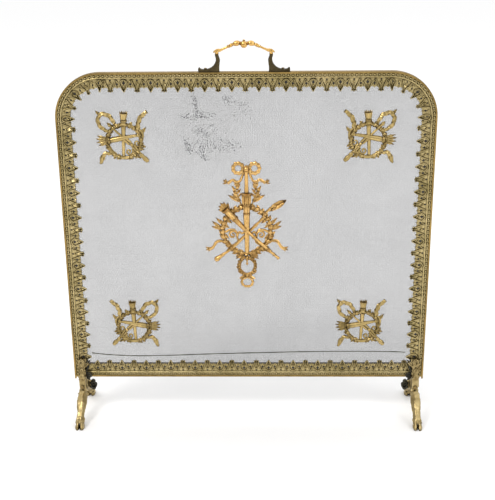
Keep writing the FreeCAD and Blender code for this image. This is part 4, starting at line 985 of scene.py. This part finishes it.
def mount_scrolls(shape):
    """Loop, horn and tail, then the volutes at the lower right."""
    loop = [(-16.5, 30.5), (-18.5, 38), (-24.5, 46.5), (-33, 51), (-41, 50.5), (-45.8, 44),
            (-46.4, 36), (-42, 27.5), (-35, 21.5), (-27, 19)]
    flat_tube(shape, loop, [4.6, 6.6, 7.4, 7.6, 7.2, 7, 7.2, 6.8, 6.2, 5.2], 3.2, 2.8, 6, 14, 3, 0.26, 0.7)
    leaf(shape, (-41, 2.8, 47.5), (-50.5, 2.6, 57.5), 6, 1.2, 0.3, 2.2)
    horn = [(24.5, 20), (26.8, 28), (27.8, 36), (31.5, 44), (37, 50), (44.5, 55.5)]
    flat_tube(shape, horn, [6, 7.6, 8, 7.8, 7.2, 6], 3.4, 3, 6, 14, 3, 0.26, 0.7)
    tail = [(-20, -24.5), (-27.5, -23), (-34.5, -23), (-40.5, -28), (-43.5, -34.5), (-46, -42.5)]
    flat_tube(shape, tail, [5.2, 6.2, 7, 7.4, 7, 4.8], 3.2, 2.8, 6, 14, 3, 0.26, 0.7)
    leaf(shape, (-38, 3.4, -27), (-47, 2.8, -44.5), 7, 1.4, 0.3, 2, lobes=3)
    spiral(shape, (24.5, -3.5), 8.6, 1.3, math.radians(70), (2.4, 1.5), 3.2, -1)
    spiral(shape, (8.5, -19.5), 7.6, 1.2, math.radians(40), (2.2, 1.4), 3, -1)
    flat_tube(shape, [(27.5, 4.6), (34.5, 8), (33.5, 18), (27, 22.5)], [4.2, 4.8, 4.8, 4.2], 3.4, 2.2)
    flat_tube(shape, [(14.2, -14.5), (18.5, -22.5), (14.5, -30), (6, -33)], [4, 4.6, 4.6, 3.6], 3.2, 2)
    flat_tube(shape, [(19, -14), (24, -24), (20, -33)], [3.4, 4, 2.4], 3, 1.8)


def corner_mount(name, node, x, z, hand):
    shape = Shape(on_cloth(x, z, hand), 0.45, 0.26, CLOTH_Y)
    wreath(shape, (0, 0), 31.4, 3.4, 8.6, 5.6, 11, gap=14, lift=3)
    mount_torch(shape)
    mount_quiver(shape)
    mount_club(shape)
    mount_scrolls(shape)
    leaves(shape, [(-22, 27, -30.5, 35.5, 6), (-26, 16, -22, 27, 5.6), (11, 29, 16.5, 36.5, 6),
                   (32, 14, 41.5, 26.5, 6.2), (31, 10, 27, 24, 5.6), (-16, -28, -21.5, -33.5, 5.2),
                   (30.5, -8, 40, -11.5, 5.6), (27, -14, 37, -16, 5.4),
                   (-30, -8, -22.5, -22, 6.6), (20, -27, 30, -33, 4.6),
                   (-32, 9, -24.5, 17, 5.6)], (3.4, 3.2), 1.5, 0.35, 1.8)
    return shape.object(name, MOUNT, (node,))


trophy()
for row, z in MOUNT_Z.items():
    for sign, side in SIDE_NAME.items():
        hand = 1 if (row == "top") == (side == "left") else -1
        corner_mount("ornament_%s_%s" % (row, side), "mount_%s_%s" % (row, side), sign * MOUNT_X, z, hand)


# ---- handle

def handle_place(x, y, z):
    return HANDLE_X + x, y, TOP + z


def grip():
    shape = Shape(handle_place)
    half = [(0, 50.4, 3), (5.4, 50.8, 3), (6.8, 51, 3.9), (8, 51.2, 3), (9.4, 51.3, 4.2),
            (12.5, 51, 4.9), (16, 50.2, 4.3), (18.6, 49.3, 3), (19.8, 48.9, 2.2), (21.4, 48.3, 3.2),
            (23, 47.5, 2.2), (26, 46.2, 2.2), (27.8, 45.4, 3.1), (29.4, 44.6, 2.1), (35, 42, 2),
            (41, 39.4, 2.3), (44.5, 38, 2.9)]
    rows = [(-x, z, r) for x, z, r in reversed(half[1:])] + half
    rows = smooth(rows, 3)
    tube(shape, [(x, 0, z) for x, z, r in rows], [r for x, z, r in rows], 20)
    ball(shape, (0, 0, 49), 6.5, 28, 18)
    lathe(shape, (0, 0, 54.5), (0, 0, 57.8),
          [(0, 2.6), (0.25, 1.7), (0.45, 2.2), (0.7, 2.1), (0.9, 1.3), (1, 0.5)], 16)
    for side in (-1, 1):
        for turn in range(0, 360, 60):
            a = math.radians(turn)
            y, dz = math.cos(a), math.sin(a)
            for x0, z0, x1, z1, reach in ((19, 49.2, 9.4, 51.2, 4.4), (27, 45.8, 20.6, 48.6, 2.8)):
                root = (side * x0, y * 2, z0 + dz * 2)
                tip = (side * x1, y * reach * 0.9, z1 + dz * reach * 0.9)
                leaf(shape, root, tip, 3.4, 1.1, 0.25, 0.9, along=6, across=4, normal=(0.001, y, dz))
        # knuckle over the bracket
        knuckle = [(42, 39), (46, 38.4), (50, 37.6), (53.2, 36.2), (55, 34.6)]
        tube(shape, [(side * x, 0, z) for x, z in knuckle],
             [(2.6, 2.4), (3.4, 3.2), (3.2, 2.8), (2.2, 1.8), (0.9, 0.8)], 16, hint=(0, 0, 1))
        lathe(shape, (side * 48.8, 0, 37.6), (side * 48.9, 0, 31.5),
              [(0, 3.2), (0.3, 3.6), (0.55, 3), (0.7, 3.5), (0.85, 3.5), (1, 3)], 20)
        for y in (-1, 1):
            leaf(shape, (side * 51.5, y * 3, 38.5), (side * 43.5, y * 2.4, 38), 4.6, 0.8, 0.3, 1.2,
                 normal=(0, y, 0))
    return shape.object("handle_grip_gilt", GOLD, ("handle_bar",))


def bracket(side):
    outline = [(-81.6, 0), (-82.8, 2), (-83, 5), (-82.2, 7.4), (-80.4, 7.6), (-79, 6), (-76, 4.9),
               (-71, 4.8), (-65, 5.6), (-60, 7.6), (-55.8, 10.9), (-52.6, 15.4), (-50.9, 20.5),
               (-50.8, 25), (-51.9, 29), (-52.2, 31.7)]
    inner = [(-45.8, 31.7), (-45.6, 28.6), (-44.2, 25), (-43.3, 21), (-43.9, 15), (-44.7, 8), (-44.6, 0)]
    ring = smooth(outline, 4) + smooth(inner, 4)
    ring = [(HANDLE_X - side * x, TOP + z) for x, z in ring]
    name = SIDE_NAME[side]
    body = plate(ring, [], -4.5, 4.5, 0.7)
    # Dark brass on the bracket: painted shade and reflection, with some patina.
    finished("bracket_" + name, body, BRACKET_SHADED, ("handle_bracket_" + name,), 45)


grip()
bracket(-1)
bracket(1)


# ---- feet

def limb_tube(shape, rows, hint, ridges, depth):
    """A ridged tube through (out, z, half across, half deep) rows."""
    rows = smooth(rows, 4)
    tube(shape, [(0, out, z) for out, z, w, t in rows], [(w, t) for out, z, w, t in rows], 24, hint,
         ridges=ridges, depth=depth)


def limb(shape):
    """Cabriole leg from the block down to the fetlock, with its leaf and roll."""
    spine = [(8.5, 54, 7, 7.2), (12.5, 49.5, 7.4, 7.4), (19, 45.5, 8.6, 7.8), (28, 41.5, 9.3, 8.2),
             (37, 37, 9.4, 8), (45.5, 30.8, 8.4, 6.9), (52.5, 24, 7.1, 5.7), (58, 18.4, 7.2, 5.8),
             (62, 14.2, 8.4, 7), (65, 10, 8.2, 7.2)]
    limb_tube(shape, spine, (0, 0.6, 0.8), 5, 0.09)
    # roll under the block
    roll = [(-8.2, 17, 47.2), (-4.5, 21, 49), (0, 22.6, 49.6), (4.5, 21, 49), (8.2, 17, 47.2)]
    tube(shape, smooth(roll, 4), [(2.1, 2.1)] * 17, 12)
    # leaf that drops down the shin
    leaf(shape, (0, 24, 49), (0, 47, 36.5), 11, 2.2, 0.3, 2, lobes=3, along=12,
         normal=(0, 0.5, 0.85))
    for side in (-1, 1):
        leaf(shape, (side * 5, 19, 47), (side * 8.6, 37, 39.5), 6.6, 1.8, 0.3, 1.8, lobes=2,
             normal=(side * 0.7, 0.3, 0.6))
        leaf(shape, (side * 7.6, 33, 40), (side * 6.8, 52, 25.5), 4.6, 1.2, 0.3, 1.5,
             normal=(side * 0.9, 0.2, 0.4))


def hoof(shape):
    """Cloven hoof with tufts of hair over it."""
    for side in (-1, 1):
        levels = [(0, 71, 4.6, 11.2), (2.5, 71.2, 4.8, 11.4), (7, 69.6, 4.4, 10.2), (11, 67.4, 3.7, 8.4),
                  (14, 65.6, 3, 6.6)]
        sections = []
        for z, out, half_x, half_y in smooth(levels, 3):
            ring = []
            for k in range(18):
                turn = 2 * math.pi * k / 18
                x = side * 0.9 * half_x + half_x * math.cos(turn) * (1 if math.cos(turn) * side > 0 else 0.82)
                ring.append((x, out + half_y * math.sin(turn) - 0.8, max(z, 0)))
            sections.append(ring)
        shape.loft(sections)
        ball(shape, (side * 5.6, 59.5, 8), 2.6, 12, 7)
    for turn in range(-75, 256, 30):
        a = math.radians(turn)
        x, y = math.cos(a), math.sin(a)
        leaf(shape, (x * 6.2, 63 + y * 5.6, 18), (x * 9, 66.6 + y * 9, 9.5), 5.2, 1, 0.3, 1.4,
             along=6, across=4, normal=(x, y, 0.3))


def squared(shape, levels, sides=28):
    """A rounded square post through (z, middle, half across, half deep, corner power) levels."""
    sections = []
    for z, out, half_x, half_y, power in levels:
        ring = []
        for k in range(sides):
            turn = 2 * math.pi * k / sides
            c, s = math.cos(turn), math.sin(turn)
            x = math.copysign(abs(c) ** power, c) * half_x
            y = math.copysign(abs(s) ** power, s) * half_y
            ring.append((x, out + y, z))
        sections.append(ring)
    shape.loft(sections)


def rosette(shape, out, z):
    for k in range(8):
        a = 2 * math.pi * k / 8
        leaf(shape, (2.2 * math.cos(a), out, z + 2.2 * math.sin(a)),
             (6.2 * math.cos(a), out - 0.3, z + 6.2 * math.sin(a)), 3.8, 0.7, 0.3, 1, along=4, across=4)


def leg_place(side, facing):
    """(across towards the screen's middle, out from the frame, up) for one foot."""
    def place(u, out, z):
        return side * LEG_X - side * u, facing * out, z
    return place


def leg_front(side):
    shape = Shape(leg_place(side, -1), 1, 0.24)
    squared(shape, [(80, 7.6, 7, 7.6, 0.35), (77, 8.2, 7, 8, 0.3), (75.4, 8.2, 6.2, 7.4, 0.3),
                    (57, 8, 6.4, 7.4, 0.3), (55.4, 8, 7.2, 8.2, 0.35), (54, 8.2, 8, 8.9, 0.4),
                    (51.6, 8.4, 7.8, 8.8, 0.5), (50.6, 8.4, 6.8, 8, 0.6)])
    limb(shape)
    hoof(shape)
    rosette(shape, 15.6, 61)
    # knee: a fleshy leaf that curls over the face of the frame
    knee = [(12.2, 79, 6, 4.4), (14.4, 84, 7, 5.6), (13, 91, 5.2, 4.2), (12, 98, 4.8, 3.6),
            (11.6, 106, 4.6, 3.4), (11, 112, 4.2, 3), (9.6, 117, 3.2, 2.4), (8.6, 120.8, 1.4, 1)]
    limb_tube(shape, knee, (0, 1, 0), 6, 0.07)
    for row in range(5):
        for sign in (-1, 1):
            root = (sign * 0.8, 14.6 - 0.5 * row, 85 + 7 * row)
            tip = (sign * (8.4 - 0.7 * row), 13.4, 96 + 6.6 * row)
            leaf(shape, root, tip, 6.2, 2.4, 0.4, 2.2, lobes=3, normal=(0, 1, 0.1))
    for lean, top in ((-6.8, 109), (7.4, 112), (-5.2, 118), (5.8, 120.5)):
        leaf(shape, (lean * 0.2, 13.4, top - 15), (lean, 13.8, top), 6, 2, 0.3, 2.2, lobes=3,
             normal=(0, 1, 0.1))
    leaf(shape, (0, 15, 89), (0, 15.2, 106), 8.6, 2.4, 0.3, 2.6, lobes=3, along=12)
    leaf(shape, (3, 12.6, 104), (17.5, 9.6, 118), 8, 1.8, 0.3, 2.4, lobes=4, along=12)
    leaf(shape, (2, 12, 108), (10, 9.8, 124), 6, 1.6, 0.3, 2.2, lobes=3, along=10)
    for sign in (-1, 1):
        tube(shape, smooth([(sign * 6.8, 12, 82), (sign * 4, 17.4, 84.5), (0, 18.4, 85.5)], 4),
             [(1.8, 1.8)] * 9, 10)
    name = SIDE_NAME[side]
    shape.object("foot_%s_front" % name, LEG, ("leg_front_" + name,))
    # Scrolls on the inner side of the knee, in the dark copy of the leg brass: painted shade.
    dark = Shape(leg_place(side, -1))
    spiral(dark, (13.5, 85), 6, 1.4, math.radians(160), (2.2, 1.5), 9.8, -1)
    flat_tube(dark, [(7.4, 88), (9, 97), (12.5, 103), (10.5, 110), (6.5, 112)],
              [4.6, 4.6, 5.2, 4.6, 3], 9.8, 2.4)
    spiral(dark, (11.2, 114), 4.4, 1.2, math.radians(220), (1.7, 1.2), 9.8, 1)
    leaf(dark, (9, 10, 82), (15.5, 9, 74), 6, 1.4, 0.3, 2)
    dark.object("foot_%s_scrolls" % name, LEG_SHADED)


def leg_rear(side):
    shape = Shape(leg_place(side, 1), 1, 0.24)
    squared(shape, [(80, 8, 7, 8, 0.3), (57, 8, 6.8, 7.8, 0.3), (55.4, 8, 7.2, 8.2, 0.35),
                    (53, 8.2, 7.8, 8.8, 0.4), (50.6, 8.4, 6.8, 8, 0.6)])
    squared(shape, [(110, 7.6, 5, 1.5, 0.6), (106, 7.6, 7, 1.6, 0.4), (77, 7.6, 7, 1.6, 0.3)])
    squared(shape, [(59.5, 17, 12.6, 2.6, 0.3), (44, 17, 12.6, 2.6, 0.3)])
    limb(shape)
    hoof(shape)
    name = SIDE_NAME[side]
    shape.object("foot_%s_rear" % name, LEG, ("leg_rear_" + name,))
    # Lobes and volute behind the rear leg, in the dark copy of the leg brass: painted shade.
    dark = Shape(leg_place(side, 1))
    for u, z, r in ((16, 58, 4.6), (19, 51, 5), (16.5, 43.6, 4.6), (12.5, 55, 4), (12.5, 46, 4)):
        lathe(dark, (u, 13, z), (u, 21, z),
              [(0, r * 0.5), (0.15, r * 0.9), (0.4, r), (0.7, r), (0.9, r * 0.8), (1, r * 0.4)], 16)
    spiral(dark, (16, 50.5), 7.6, 1.2, math.radians(90), (2, 1.4), 13, -1)
    dark.object("foot_%s_rear_leaf" % name, LEG_SHADED)


for side in SIDE_NAME:
    leg_front(side)
    leg_rear(side)


# ---- floor, light and camera

def floor():
    mesh = bpy.data.meshes.new("floor")
    work = bmesh.new()
    bmesh.ops.create_grid(work, x_segments=8, y_segments=8, size=20)
    work.to_mesh(mesh)
    work.free()
    material = bpy.data.materials.new("paper_floor")
    tree = Tree(material)
    shader = tree.nodes["Principled BSDF"]
    grain = tree.add("ShaderNodeTexNoise", {"Scale": 3}).outputs["Fac"]
    tree.feed(shader.inputs["Base Color"], tree.ramp(grain, (0, 0.93, 0.93, 0.93), (1, 0.96, 0.96, 0.96)))
    tree.feed(shader.inputs["Roughness"], 0.9)
    mesh.materials.append(material)
    piece = bpy.data.objects.new("floor", mesh)
    bpy.context.scene.collection.objects.link(piece)


def area_light(name, place, aim, size, power, colour=(1, 1, 1)):
    data = bpy.data.lights.new(name, "AREA")
    data.shape = "RECTANGLE"
    data.size, data.size_y = size
    data.energy = power
    data.color = colour
    lamp = bpy.data.objects.new(name, data)
    lamp.location = place
    lamp.rotation_euler = (Vector(aim) - Vector(place)).to_track_quat("-Z", "Y").to_euler()
    bpy.context.scene.collection.objects.link(lamp)


def camera():
    """A long lens a little above the screen and to the right of its middle, looking down at it."""
    pitch, yaw, roll = math.radians(20.84), math.radians(-1.28), math.radians(-0.58)
    forward = Vector((math.sin(yaw) * math.cos(pitch), math.cos(yaw) * math.cos(pitch), -math.sin(pitch)))
    right = Vector((math.cos(yaw), -math.sin(yaw), 0))
    up = right.cross(forward)
    tilted_right = right * math.cos(roll) + up * math.sin(roll)
    tilted_up = up * math.cos(roll) - right * math.sin(roll)
    data = bpy.data.cameras.new("camera")
    data.sensor_width = 36
    data.lens = 74.18
    data.clip_end = 100
    eye = bpy.data.objects.new("camera", data)
    turn = Matrix((tilted_right, tilted_up, -forward)).transposed().to_4x4()
    eye.matrix_world = Matrix.Translation((0.0422, -1.852, 1.0556)) @ turn
    bpy.context.scene.collection.objects.link(eye)
    bpy.context.scene.camera = eye


floor()
area_light("key", (-1.5, -1.4, 2.6), (0, 0, 0.35), (0.8, 0.8), 26, (1, 0.98, 0.95))
area_light("fill", (1.9, -1.5, 1.5), (0, 0, 0.35), (0.6, 1.4), 9, (0.96, 0.98, 1))
area_light("back", (0.2, 2.4, 2.6), (0, 0.6, 0), (3, 1.4), 14)


def studio_sky():
    """Bright overhead and dim towards the horizon, so that the metal has something dark to mirror."""
    world = bpy.data.worlds.new("studio")
    tree = Tree(world)
    place = tree.add("ShaderNodeTexCoord", {}).outputs["Generated"]
    height = tree.add("ShaderNodeSeparateXYZ", {"Vector": place}).outputs["Z"]
    back = tree.nodes["Background"]
    tree.feed(back.inputs["Color"], tree.ramp(height, (0.10, 0.22, 0.22, 0.23), (0.55, 1, 1, 1)))
    tree.feed(back.inputs["Strength"], 1.16)
    bpy.context.scene.world = world


studio_sky()
bpy.context.scene.view_settings.view_transform = "Standard"
camera()
